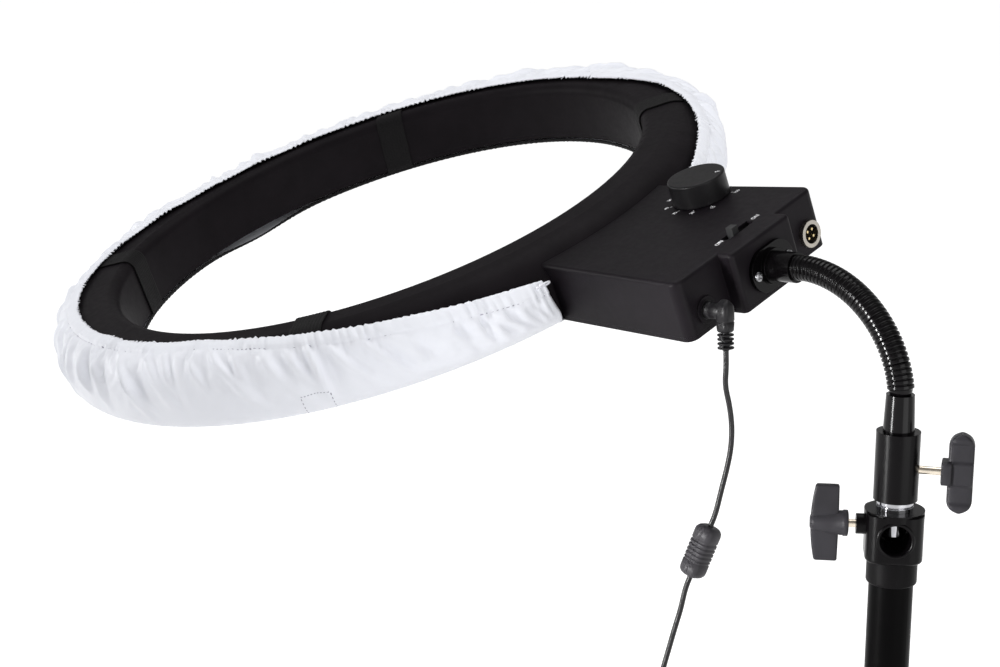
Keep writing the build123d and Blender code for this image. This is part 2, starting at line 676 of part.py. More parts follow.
# Power switch, a slider in a slot
switch_half = SLOT_WIDTH / 2 + SWITCH_RIM
body = block(
    SWITCH_X - switch_half, SWITCH_X + switch_half, slot_low - SWITCH_RIM, slot_high + SWITCH_RIM,
    PANEL_UNDER - SWITCH_DEPTH, PANEL_UNDER,
)
body -= block(
    SWITCH_X - SLOT_WIDTH / 2, SWITCH_X + SLOT_WIDTH / 2, slot_low, slot_high,
    PANEL_UNDER - FOOT_THICK, PANEL_UNDER + 1,
)
write_head("switch_body", body)
slide_half = SLOT_WIDTH / 2 - RUN
stem_half = slide_half - SEAT
lever = block(
    SWITCH_X - slide_half, SWITCH_X + slide_half,
    LEVER_OFF_Y - LEVER_FOOT / 2, LEVER_OFF_Y + LEVER_FOOT / 2,
    PANEL_UNDER - FOOT_THICK + RUN, PANEL_UNDER,
)
lever += block(
    SWITCH_X - stem_half, SWITCH_X + stem_half,
    LEVER_OFF_Y - LEVER_LENGTH / 2, LEVER_OFF_Y + LEVER_LENGTH / 2,
    PANEL_UNDER - RUN, BOX_TOP + LEVER_RISE,
)
write_head("switch_lever", lever)

# Sockets of the end wall and the board behind them
jack_out = BOX_END + JACK_RIM_OUT
jack = rod(JACK_R, (BOX_END - JACK_DEPTH, JACK_Y, JACK_Z), (jack_out, JACK_Y, JACK_Z))
jack -= rod(
    JACK_BORE_R, (BOX_END - JACK_DEPTH + 2, JACK_Y, JACK_Z), (jack_out + 1, JACK_Y, JACK_Z)
)
write_head("dc_jack", jack)
battery_out = BOX_END + BATTERY_NOSE
battery_in = BOX_END - BATTERY_DEPTH
battery = rod(BATTERY_R, (BOX_END, BATTERY_Y, BATTERY_Z), (battery_out, BATTERY_Y, BATTERY_Z))
battery += rod(BATTERY_BARREL_R, (battery_in, BATTERY_Y, BATTERY_Z), (BOX_END, BATTERY_Y, BATTERY_Z))
battery -= rod(
    BATTERY_CUP_R, (battery_in - 1, BATTERY_Y, BATTERY_Z), (battery_out + 1, BATTERY_Y, BATTERY_Z)
)
write_head("battery_socket", battery)
INSERT_FACE = BOX_END - 3.0
insert = rod(
    BATTERY_CUP_R - RUN, (battery_in, BATTERY_Y, BATTERY_Z), (INSERT_FACE, BATTERY_Y, BATTERY_Z)
)
pins = []
for i in range(PIN_COUNT):
    dy, dz = polar(PIN_CIRCLE, 45 + 360.0 / PIN_COUNT * i)
    place = (BATTERY_Y + dy, BATTERY_Z + dz)
    insert -= rod(PIN_R + RUN, (battery_in - 1, *place), (INSERT_FACE + 1, *place))
    pins.append(rod(PIN_R, (battery_in, *place), (battery_out - 1.0, *place)))
write_head("battery_insert", insert)
write_head("battery_pins", Compound(children=pins))
control_level = SHELL_LOW + CONTROL_LIFT
control_from, control_to = RING_OUTER + 14, BOX_END - JACK_DEPTH - 2
control = block(
    control_from, control_to, -CONTROL_HALF, CONTROL_HALF, control_level, control_level + BOARD_THICK
)
for x in (control_from + 2 * BOSS_R, control_to - 2 * BOSS_R):
    for y in (2 * BOSS_R - CONTROL_HALF, CONTROL_HALF - 2 * BOSS_R):
        control += disc(BOSS_R, SHELL_LOW, control_level, x, y)
write_head("control_board", control)

# Flange and root sleeve of the gooseneck
end_x = BLOCK_FACE
plate = Plane.YZ * SlotOverall(FLANGE_WIDTH, FLANGE_HEIGHT)
flange = Pos(end_x, FLANGE_Y, FLANGE_Z) * extrude(plate, FLANGE_THICK)
hub_end = end_x + FLANGE_HUB_HEIGHT
flange += rod(FLANGE_HUB_R, (end_x, FLANGE_Y, FLANGE_Z), (hub_end, FLANGE_Y, FLANGE_Z))
sleeve_end = end_x + ROOT_SLEEVE_LENGTH
flange += rod(ROOT_SLEEVE_R, (end_x, FLANGE_Y, FLANGE_Z), (sleeve_end, FLANGE_Y, FLANGE_Z))
flange -= rod(
    HOSE_ROOT_R + RUN, (end_x + SLEEVE_FLOOR, FLANGE_Y, FLANGE_Z), (sleeve_end + 1, FLANGE_Y, FLANGE_Z)
)
flange_bolts = []
for y, z in FLANGE_SCREWS:
    flange -= rod(SCREW_R + RUN, (end_x - 1, y, z), (end_x + FLANGE_THICK + 1, y, z))
    head_from = end_x + FLANGE_THICK
    bolt = rod(SCREW_R, (end_x - 6, y, z), (head_from, y, z))
    bolt += rod(SCREW_HEAD_R, (head_from, y, z), (head_from + SCREW_HEAD_H, y, z))
    bolt -= rod(SCREW_R, (head_from + SCREW_HEAD_H / 2, y, z), (head_from + 5, y, z))
    flange_bolts.append(bolt)
write_head("mount_flange", flange)
write_head("flange_screws", Compound(children=flange_bolts))


# Gooseneck links, each drawn upright with its lower ball centre at the origin
def ribbed(low, first_rib, ribs, high):
    """A ribbed outside as one ruled loft, four circles to each rib."""
    flank = (RIB_PITCH - RIB_TOP) / 4
    rings = [(low, HOSE_ROOT_R)]
    for i in range(ribs):
        middle = first_rib + i * RIB_PITCH
        rings.append((middle - RIB_TOP / 2 - flank, HOSE_ROOT_R))
        rings.append((middle - RIB_TOP / 2, HOSE_CREST_R))
        rings.append((middle + RIB_TOP / 2, HOSE_CREST_R))
        rings.append((middle + RIB_TOP / 2 + flank, HOSE_ROOT_R))
    rings.append((high, HOSE_ROOT_R))
    return loft([Pos(0, 0, z) * Circle(radius) for z, radius in rings], ruled=True)


def neck_link():
    """A link with a cup for the ball below it and a ball of its own above."""
    shoulder = LINK_LENGTH - SHOULDER_GAP
    lead = (shoulder - (LINK_RIBS - 1) * RIB_PITCH) / 2
    link = ribbed(0, lead, LINK_RIBS, shoulder)
    link += disc(BALL_NECK_R, shoulder - 0.5, LINK_LENGTH)
    link += Pos(0, 0, LINK_LENGTH) * Sphere(BALL_R)
    link -= Sphere(BALL_R + RUN)
    return link - disc(HOSE_BORE_R, -1, LINK_LENGTH + BALL_R + 1)


def facing(origin, way):
    """Placement at a point, with local z along a direction and local x along world Y."""
    return Plane(origin=origin, x_dir=Vector(0, 1, 0), z_dir=way).location


for i in range(len(BALLS) - 1):
    placed = facing(BALLS[i], BALLS[i + 1] - BALLS[i]) * neck_link()
    write(f"neck_link_{i + 1}", placed)

end_length = HEAD_END_RUN - SLEEVE_FLOOR - SEAT
stub = ribbed(0, RIB_PITCH / 2, END_RIBS, end_length)
stub -= Sphere(BALL_R + RUN)
stub -= disc(HOSE_BORE_R, 0, end_length + 1)
write("neck_end", facing(BALLS[-1], ALONG * -1) * stub)

# Lower sleeve of the gooseneck, seated in the stand socket
sleeve_low = SOCKET_TOP - SLEEVE_SEAT
sleeve_top = SOCKET_TOP + SLEEVE_SHOWS
sleeve = disc(SLEEVE_R, sleeve_low, SOCKET_TOP + 1)
sleeve += loft(
    [Pos(0, 0, SOCKET_TOP + 1) * Circle(SLEEVE_R), Pos(0, 0, sleeve_top) * Circle(SLEEVE_TOP_R)]
)
sleeve += disc(BALL_NECK_R, sleeve_top - 0.5, BALL_ONE_Z)
sleeve += Pos(0, 0, BALL_ONE_Z) * Sphere(BALL_R)
sleeve -= disc(HOSE_BORE_R, sleeve_low - 1, BALL_ONE_Z + BALL_R + 1)
write("lower_sleeve", sleeve)

# Socket over the stand's spigot
spigot_top = HEAD_TOP + RIDGE_TOTAL + SPIGOT_TOP
socket = disc(SOCKET_R, SOCKET_LOW, SOCKET_TOP)
socket -= disc(SPIGOT_R + RUN, SOCKET_LOW - 1, spigot_top + SEAT)
socket -= disc(SLEEVE_R + RUN, sleeve_low, SOCKET_TOP + 1)
socket_knob_z = SOCKET_LOW + SOCKET_KNOB_RISE


def outward(angle, height, start, end, radius):
    """A round bar that points out from the stand's axis."""
    ways = [(*polar(place, angle), height) for place in (start, end)]
    return rod(radius, *ways)


sx = SOCKET_KNOB_ANGLE
pad_from = SPIGOT_R + RUN
socket -= outward(sx, socket_knob_z, 0, SOCKET_R + 5, CLAMP_SCREW_R + RUN)
write("socket_tube", socket)
pad = outward(sx, socket_knob_z, pad_from, pad_from + PAD_LENGTH, CLAMP_SCREW_R)
write("socket_pad", pad)
screw = outward(sx, socket_knob_z, pad_from + PAD_LENGTH, SOCKET_SCREW_END, CLAMP_SCREW_R)
write("socket_screw", screw)

knob_frame = Rot(0, 0, SOCKET_KNOB_ANGLE)
hub = Pos(HUB_FROM + HUB_LENGTH / 2, 0, socket_knob_z) * Box(HUB_LENGTH, HUB_SIDE, HUB_SIDE)
bar_plane = Plane.XZ * SlotOverall(BAR_LENGTH, BAR_THICK, rotation=90)
bar = Pos(BAR_FROM + BAR_THICK / 2, BAR_DEPTH / 2, socket_knob_z) * extrude(bar_plane, BAR_DEPTH)
bar = fillet(bar.edges(), 2.0)
t_knob = knob_frame * (hub + bar)
t_knob -= outward(sx, socket_knob_z, 0, SOCKET_SCREW_END, CLAMP_SCREW_R)
write("socket_knob", t_knob)

# Spigot between the socket and the stand's head
spigot = disc(SPIGOT_R, HEAD_TOP + RIDGE_TOTAL, spigot_top)
spigot = chamfer(spigot.edges().group_by(Axis.Z)[-1], 1.0)
spigot += disc(RIDGE_GROOVE_R, HEAD_TOP, HEAD_TOP + RIDGE_TOTAL)
spigot += disc(RIDGE_R, HEAD_TOP, HEAD_TOP + RIDGE_HEIGHT)
spigot += disc(RIDGE_R, HEAD_TOP + RIDGE_HEIGHT + RIDGE_GROOVE, HEAD_TOP + RIDGE_TOTAL)
spigot += disc(STEM_R, HEAD_TOP - STEM_LENGTH, HEAD_TOP)
write("spigot", spigot)

# Head of the stand with its cross bore
stand_head = Pos(0, 0, HEAD_LOW) * extrude(
    RectangleRounded(2 * HEAD_HALF, 2 * HEAD_HALF, HEAD_CORNER), HEAD_HEIGHT - 1
)
stand_head = fillet(stand_head.edges().group_by(Axis.Z)[0], 2.0)
stand_head = Rot(0, 0, CROSS_BORE_ANGLE) * stand_head
stand_head += disc(CAP_R, HEAD_TOP - CAP_HEIGHT, HEAD_TOP)
stand_head += disc(TUBE_R - TUBE_WALL - RUN, HEAD_LOW - TENON_LENGTH, HEAD_LOW + 1)
bore_z = HEAD_LOW + CROSS_BORE_RISE
bore_ends = [(*polar(place, CROSS_BORE_ANGLE), bore_z) for place in (-30, 30)]
stand_head -= rod(CROSS_BORE_R, *bore_ends)
for side in (-1, 1):
    mouth = (*polar(side * HEAD_HALF, CROSS_BORE_ANGLE), bore_z)
    inner = (*polar(side * (HEAD_HALF - CROSS_CHAMFER), CROSS_BORE_ANGLE), bore_z)
    flare = Plane(origin=inner, z_dir=Vector(mouth) - Vector(inner)).location * Cone(
        CROSS_BORE_R, CROSS_BORE_R + CROSS_CHAMFER, CROSS_CHAMFER,
        align=(Align.CENTER, Align.CENTER, Align.MIN),
    )
    stand_head -= flare
stand_head -= disc(STEM_R + RUN, HEAD_TOP - STEM_LENGTH - 1, HEAD_TOP + 1)
stand_knob_z = HEAD_LOW + STAND_KNOB_RISE
sk = STAND_KNOB_ANGLE
boss_end = HEAD_HALF + STAND_BOSS_OUT
stand_head += outward(sk, stand_knob_z, HEAD_HALF - 3, boss_end, STAND_BOSS_R)
stand_pad_from = STEM_R + RUN
stand_pad_end = stand_pad_from + PAD_LENGTH
stand_head -= outward(sk, stand_knob_z, 0, boss_end + 1, CLAMP_SCREW_R + RUN)
write("stand_head", stand_head)
stand_pad = outward(sk, stand_knob_z, stand_pad_from, stand_pad_end, CLAMP_SCREW_R)
write("stand_pad", stand_pad)
wing_end = WING_HUB_FROM + WING_HUB_LENGTH
stand_screw_end = WING_HUB_FROM + WING_HUB_LENGTH / 2
write("stand_screw", outward(sk, stand_knob_z, stand_pad_end, stand_screw_end, CLAMP_SCREW_R))

wing_hub = rod(WING_HUB_R, (WING_HUB_FROM, 0, 0), (wing_end, 0, 0))
wing_hub = fillet(wing_hub.edges().group_by(Axis.X)[-1], 4.0)
wing_mid = WING_HUB_FROM + WING_HUB_LENGTH * 0.6
half_span = WING_SPAN / 2
wing_outline = Polyline(
    (wing_mid - WING_WIDTH / 2 + WING_SWEEP, 0, half_span),
    (wing_mid + WING_WIDTH / 2, 0, half_span),
    (wing_mid + WING_WIDTH / 2 + WING_SWEEP, 0, 0),
    (wing_mid + WING_WIDTH / 2, 0, -half_span),
    (wing_mid - WING_WIDTH / 2 + WING_SWEEP, 0, -half_span),
    (wing_mid - WING_WIDTH / 2 - WING_SWEEP, 0, 0),
    close=True,
)
wing = extrude(make_face(wing_outline), WING_THICK / 2, both=True)
wing = fillet(wing.edges(), 1.5)
wing_knob = Pos(0, 0, stand_knob_z) * Rot(0, 0, STAND_KNOB_ANGLE) * (wing_hub + wing)
wing_knob -= outward(sk, stand_knob_z, 0, stand_screw_end, CLAMP_SCREW_R)
write("stand_knob", wing_knob)

# Stand tube and the collar at its top
tube = disc(TUBE_R, 0, COLLAR_LOW) + disc(TUBE_R - COLLAR_SEAT, 0, TUBE_LENGTH)
tube -= disc(TUBE_R - TUBE_WALL, -1, TUBE_LENGTH + 1)
write("stand_tube", tube)
collar = disc(COLLAR_R, COLLAR_LOW, HEAD_LOW)
collar = fillet(collar.edges().group_by(Axis.Z)[0], 1.2)
collar -= disc(TUBE_R - COLLAR_SEAT + RUN, COLLAR_LOW - 1, HEAD_LOW + 1)
write("collar", collar)

# Power plug, an angled one whose body hangs down beside the end wall
DOWN = Vector(ALONG.Z, 0, -ALONG.X)
plug_middle = head_point(BOX_END + PLUG_REACH, JACK_Y, JACK_Z)
plug_face = head_point(BOX_END + JACK_RIM_OUT, JACK_Y, JACK_Z)
tip_end = head_point(BOX_END + JACK_RIM_OUT - TIP_LENGTH, JACK_Y, JACK_Z)
write("dc_plug_tip", rod(TIP_R, tip_end, plug_face))
plug_top = plug_middle - DOWN * PLUG_ABOVE
plug_foot = plug_middle + DOWN * PLUG_BELOW
plug = rod(PLUG_BODY_R, plug_top, plug_foot)
plug = fillet(plug.edges().group_by(Axis.Z)[-1], 1.5)
plug += rod(PLUG_BARREL_R, plug_face, plug_middle)
write("dc_plug_body", plug)
relief_end = plug_foot + DOWN * RELIEF_LENGTH
relief = rod(RELIEF_CORE_R, plug_foot, relief_end)
rib_step = RELIEF_LENGTH / RELIEF_RIBS
for i in range(RELIEF_RIBS):
    start = plug_foot + DOWN * (rib_step * (i + 0.5) - RELIEF_RIB_THICK / 2)
    relief += rod(RELIEF_RIB_R, start, start + DOWN * RELIEF_RIB_THICK)
write("plug_relief", relief)


# Free stretches of the lead: straight runs joined by tangent arcs
def lead_path(points, name):
    """The rounded path through a route's points, with its radii printed."""
    points = [Vector(point) for point in points]
    radii = []
    for before, here, after in zip(points, points[1:], points[2:]):
        turn = (here - before).get_angle(after - here)
        shorter = min((here - before).length, (after - here).length)
        radii.append(0.45 * shorter / math.tan(math.radians(turn) / 2))
    print(name, "least radius", round(min(radii), 1), "radii", [round(r) for r in radii])
    return FilletPolyline(*points, radius=radii)


def lead_tube(points, name):
    """A round lead along a route, with its volume compared with its length."""
    path = lead_path(points, name)
    start = Plane(origin=path @ 0, z_dir=path % 0)
    tube = sweep(start * Circle(LEAD_R), path=path)
    ideal = math.pi * LEAD_R ** 2 * path.length
    print(name, "length", round(path.length, 1), "volume share", round(tube.volume / ideal, 4))
    return tube


bead_way = (Vector(BEAD_BOTTOM) - Vector(BEAD_TOP)).normalized()
bead_end = Vector(BEAD_TOP) + bead_way * BEAD_LENGTH
into_bead = Vector(BEAD_TOP) - bead_way * STRAIGHT_OUT
relief_out = relief_end + DOWN * STRAIGHT_OUT
write("cord_upper", lead_tube([relief_end, relief_out, *UPPER_ROUTE, into_bead, BEAD_TOP], "cord_upper"))
bead = rod(BEAD_R, BEAD_TOP, bead_end)
bead = fillet(bead.edges(), 1.5)
write("ferrite_bead", bead)


# Coil of the put-away lead: flat spirals of half circles that swing in and out, one layer
# behind the other, with the step to the next layer in the half turn where they reverse
def biarc(start, start_way, end, end_way):
    """Two arcs that join two points along their given directions."""
    start, end = Vector(start), Vector(end)
    start_way, end_way = Vector(start_way).normalized(), Vector(end_way).normalized()
    chord = end - start
    both = start_way + end_way
    a = both.dot(both) - 4
    b = -2 * chord.dot(both)
    c = chord.dot(chord)
    if abs(a) < 1e-9:
        reach = c / -b
    else:
        reach = (-b - math.sqrt(b * b - 4 * a * c)) / (2 * a)
    if reach < 0:
        reach = (-b + math.sqrt(b * b - 4 * a * c)) / (2 * a)
    first, last = start + start_way * reach, end - end_way * reach
    joint = (first + last) * 0.5
    way = (last - first).normalized()
    return [TangentArc(start, joint, tangent=start_way), TangentArc(joint, end, tangent=way)]


def coil_stations():
    """Radius, angle and depth at every quarter turn of the coil."""
    grow = COIL_PITCH / 4
    radius = COIL_INNER_R + COIL_QUARTERS[0] * grow
    angle, depth = 0.0, 0.0
    stations = [(radius, angle, depth)]
    for layer, quarters in enumerate(COIL_QUARTERS):
        for quarter in range(quarters):
            radius += grow if layer % 2 else -grow
            angle += 90.0
            stations.append((radius, angle, depth))
        if layer < len(COIL_QUARTERS) - 1:
            for quarter in range(2):
                angle += 90.0
                depth += COIL_PITCH / 2
                stations.append((radius, angle, depth))
    return stations


STRAIGHT_END = 2 * LEAD_R
stations = coil_stations()
coil_outer = stations[0][0]
coil_centre = Vector(COIL_START) - Vector(coil_outer, 0, STRAIGHT_END)
coil_at, coil_way = [], []
for radius, angle, depth in stations:
    x, z = polar(radius, -angle)
    coil_at.append(coil_centre + Vector(x, depth, z))
    x, z = polar(1.0, -angle - 90)
    coil_way.append(Vector(x, 0, z))
coil_edges = [Line(COIL_START, coil_at[0])]
for i in range(len(coil_at) - 1):
    coil_edges += biarc(coil_at[i], coil_way[i], coil_at[i + 1], coil_way[i + 1])
coil_end = coil_at[-1] + coil_way[-1] * STRAIGHT_END
coil_edges.append(Line(coil_at[-1], coil_end))
coil_wire = Wire(coil_edges)
coil = sweep(Plane(origin=COIL_START, z_dir=coil_way[0]) * Circle(LEAD_R), path=coil_wire)
coil_share = coil.volume / (math.pi * LEAD_R ** 2 * coil_wire.length)
print("cord_coil length", round(coil_wire.length, 1), "volume share", round(coil_share, 4))
write("cord_coil", coil)

# Least gap of the coil to itself, on points along its middle line
COIL_SAMPLES = 1400
samples = [coil_wire @ (i / COIL_SAMPLES) for i in range(COIL_SAMPLES + 1)]
skip = int(4 * LEAD_R / (coil_wire.length / COIL_SAMPLES)) + 2
least = min(
    (samples[i] - samples[j]).length
    for i in range(0, COIL_SAMPLES, 3)
    for j in range(i + skip, COIL_SAMPLES, 2)
)
print("cord_coil least gap", round(least - 2 * LEAD_R, 2))

# Band round the top of the coil
tie_room = SEAT + LEAD_R
tie_low = math.sqrt((COIL_INNER_R - LEAD_R) ** 2 - (TIE_WIDTH / 2) ** 2) - SEAT
tie_high = coil_outer + tie_room
tie_back = COIL_PITCH * (len(COIL_QUARTERS) - 1) + tie_room
band = block(
    -TIE_WIDTH / 2, TIE_WIDTH / 2, -tie_room - TIE_THICK, tie_back + TIE_THICK,
    tie_low - TIE_THICK, tie_high + TIE_THICK,
)
band = fillet(band.edges().filter_by(Axis.X), TIE_THICK)
band -= block(-TIE_WIDTH, TIE_WIDTH, -tie_room, tie_back, tie_low, tie_high)
write("coil_tie", Pos(coil_centre) * band)

into_coil = Vector(COIL_START) + Vector(0, 0, STRAIGHT_OUT + 3)
out_of_bead = bead_end + bead_way * STRAIGHT_OUT
lower_points = [bead_end, out_of_bead, *LOWER_ROUTE, into_coil, COIL_START]
write("cord_lower", lead_tube(lower_points, "cord_lower"))
out_of_coil = coil_end - Vector(0, 0, STRAIGHT_OUT)
write("cord_tail", lead_tube([coil_end, out_of_coil, *TAIL_ROUTE, TAIL_END], "cord_tail"))
print("cord_tail starts at", coil_end)

# Power adapter on the lead's far end, with its mains inlet at the bottom
nose_low = TAIL_END[2] - NOSE_LENGTH
nose = Pos(TAIL_END[0], TAIL_END[1], nose_low) * Cone(
    RELIEF_RIB_R, RELIEF_CORE_R, NOSE_LENGTH, align=(Align.CENTER, Align.CENTER, Align.MIN)
)
write("adapter_relief", nose)
case = Pos(TAIL_END[0], TAIL_END[1], nose_low - ADAPTER_HEIGHT / 2) * Box(
    ADAPTER_WIDTH, ADAPTER_DEPTH, ADAPTER_HEIGHT
)
case = fillet(case.edges(), ADAPTER_EDGE)
inlet_low = nose_low - ADAPTER_HEIGHT
inlet = Pos(TAIL_END[0], TAIL_END[1], inlet_low) * extrude(
    SlotOverall(INLET_WIDTH, INLET_DEPTH), INLET_SINK
)
inlet_pins = []
for side in (-1, 1):
    place = (TAIL_END[0] + side * INLET_WIDTH / 4, TAIL_END[1])
    inlet_pins.append(disc(MAINS_PIN_R, inlet_low + 1, inlet_low + INLET_SINK, *place))
write("power_adapter", case - inlet)
write("adapter_pins", Compound(children=inlet_pins))
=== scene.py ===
import random
from math import asin, copysign, cos, dist, hypot, pi, radians, sin, sqrt, tau

import bmesh
import bpy
import numpy as np
from mathutils import Matrix, Vector


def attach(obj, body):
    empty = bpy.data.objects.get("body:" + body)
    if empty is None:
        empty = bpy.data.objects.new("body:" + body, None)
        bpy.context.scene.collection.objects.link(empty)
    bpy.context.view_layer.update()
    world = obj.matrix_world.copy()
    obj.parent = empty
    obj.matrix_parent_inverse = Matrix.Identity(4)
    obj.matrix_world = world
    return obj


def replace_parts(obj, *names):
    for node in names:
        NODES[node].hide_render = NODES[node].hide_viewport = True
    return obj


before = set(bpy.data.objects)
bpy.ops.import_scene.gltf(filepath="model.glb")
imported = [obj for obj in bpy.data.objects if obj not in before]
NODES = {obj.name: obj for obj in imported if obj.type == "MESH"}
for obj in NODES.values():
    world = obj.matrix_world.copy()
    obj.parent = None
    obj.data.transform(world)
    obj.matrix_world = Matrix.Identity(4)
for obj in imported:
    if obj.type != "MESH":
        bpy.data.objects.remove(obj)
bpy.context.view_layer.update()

MM = 0.001
SIDE = Vector((0.0, 1.0, 0.0))
UP = Vector((0.0, 0.0, 1.0))

# Head frame: origin at the ring's centre on the cover's front, in millimetres
HEAD_ORIGIN = Vector((-446.9818, 4.1702, 369.8409))
HEAD_X = Vector((0.997314, 0.0, 0.073238))
HEAD_Y = Vector((-0.025169, 0.939094, 0.342737))
HEAD_Z = Vector((-0.068778, -0.343660, 0.936572))

# The way the power plug points
DOWN = Vector((0.07324, 0.0, -0.99731))


def head_point(x, y, z):
    """A point of the head frame, in the world."""
    return HEAD_ORIGIN + HEAD_X * x + HEAD_Y * y + HEAD_Z * z


def placed(name, data):
    """A new object in the scene."""
    obj = bpy.data.objects.new(name, data)
    bpy.context.scene.collection.objects.link(obj)
    return obj


def oriented(place, x_axis, y_axis, z_axis):
    """The matrix of a place in millimetres and three axes."""
    return Matrix.Translation(place * MM) @ Matrix((x_axis, y_axis, z_axis)).transposed().to_4x4()


# Camera
CAMERA_RIGHT = (0.65732, 0.75361, 0.0002)
CAMERA_UP = (-0.16899, 0.14715, 0.97457)
CAMERA_BACK = (0.73441, -0.64064, 0.22408)
CAMERA_AT = Vector((565.86, -780.55, 605.31))
camera_data = bpy.data.cameras.new("camera")
camera_data.lens = 64.8
camera_data.sensor_width = 36.0
camera_data.clip_start = 0.02
camera_data.clip_end = 60.0
camera = placed("camera", camera_data)
camera.matrix_world = oriented(CAMERA_AT, CAMERA_RIGHT, CAMERA_UP, CAMERA_BACK)
bpy.context.scene.camera = camera

# Power lead, one length from the plug's strain relief to the adapter's
LEAD_R = 1.6
PLUG_MIDDLE = head_point(359.0, -46.0, 13.5)
RELIEF_TOP = PLUG_MIDDLE + DOWN * 11.5
RELIEF_END = RELIEF_TOP + DOWN * 10.5
STRAIGHT = 9.0
BEAD_LONG = 31.0
BEAD_TOP = Vector((-91.4, -47.8, 267.6))
BEAD_WAY = (Vector((-98.2, -55.8, 238.4)) - BEAD_TOP).normalized()
BEAD_END = BEAD_TOP + BEAD_WAY * BEAD_LONG
COIL_START = Vector((-110.6, -69.7, 142.0))
COIL_OUTER_R = 22.75
COIL_PITCH = 4.1
COIL_CENTRE = COIL_START - Vector((COIL_OUTER_R, 0, 3.2))
COIL_QUARTERS = (10, 10, 10, 8)
COIL_PER_QUARTER = 4
COIL_END = Vector((-112.65, -57.4, 135.6))
TAIL_END = Vector((-120.2, -66.8, 82.5))
UPPER_ROUTE = (
    (-87.6, -43.2, 351.0), (-85.8, -40.7, 339.0), (-84.6, -39.5, 327.0), (-84.5, -39.8, 314.5),
    (-85.8, -41.4, 302.0), (-87.6, -43.6, 289.5)
)
LOWER_ROUTE = (
    (-101.5, -59.8, 218.0), (-103.9, -62.4, 205.0), (-105.9, -64.7, 192.5), (-108.0, -67.1, 180.0),
    (-109.7, -68.9, 167.0)
)
TAIL_ROUTE = ((-114.6, -60.6, 114.5), (-118.2, -64.8, 103.5), (-120.2, -66.8, 92.5))


def coil_points():
    """Control points round the coil, layer behind layer."""
    step = 90.0 / COIL_PER_QUARTER
    swell = 1.0 / cos(radians(step / 2))
    grow = COIL_PITCH / 4 / COIL_PER_QUARTER
    moves = []
    for layer, quarters in enumerate(COIL_QUARTERS):
        moves += [(0.0, 2 * grow)] * (2 * COIL_PER_QUARTER if layer else 0)
        moves += [(grow if layer % 2 else -grow, 0.0)] * (quarters * COIL_PER_QUARTER)
    radius, depth, points = COIL_OUTER_R, 0.0, []
    for number, (outwards, back) in enumerate(moves, 1):
        radius, depth = radius + outwards, depth + back
        way = radians(-step * number)
        place = Vector((cos(way), 0, sin(way))) * radius * swell
        points.append(COIL_CENTRE + place + SIDE * depth)
    return points


def lead_points():
    route = [RELIEF_END, RELIEF_END + DOWN * STRAIGHT, *UPPER_ROUTE]
    route += [BEAD_TOP - BEAD_WAY * STRAIGHT, BEAD_TOP, BEAD_END, BEAD_END + BEAD_WAY * STRAIGHT]
    route += [*LOWER_ROUTE, COIL_START + UP * 12.0, COIL_START, *coil_points()]
    route += [COIL_END, COIL_END - UP * STRAIGHT, *TAIL_ROUTE, TAIL_END]
    return [Vector(place) for place in route]


def round_cord(name, route, radius, segments, corners):
    """A smooth cord along control points."""
    curve = bpy.data.curves.new(name, "CURVE")
    curve.dimensions = "3D"
    curve.resolution_u = segments
    curve.bevel_depth = 1.0
    curve.bevel_resolution = corners
    curve.use_fill_caps = True
    spline = curve.splines.new("NURBS")
    spline.points.add(len(route) - 1)
    for point, place in zip(spline.points, route):
        point.co = (*(place * MM), 1.0)
        point.radius = radius * MM
    spline.order_u = 3
    spline.use_endpoint_u = True
    return placed(name, curve)


power_lead = round_cord("power_lead", lead_points(), LEAD_R, 6, 4)
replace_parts(power_lead, "cord_upper", "cord_lower", "cord_coil", "cord_tail")
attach(power_lead, "head")


# Materials
class Nodes:
    """A node tree under construction."""

    def __init__(self, tree):
        self.tree = tree

    def put(self, socket, value):
        """Links a socket to another one, or sets its value."""
        if isinstance(value, bpy.types.NodeSocket):
            self.tree.links.new(value, socket)
        else:
            socket.default_value = value

    def add(self, kind, settings=None, **sockets):
        node = self.tree.nodes.new(kind)
        for key, value in (settings or {}).items():
            setattr(node, key, value)
        for socket, value in sockets.items():
            self.put(node.inputs[socket.replace("_", " ")], value)
        return node


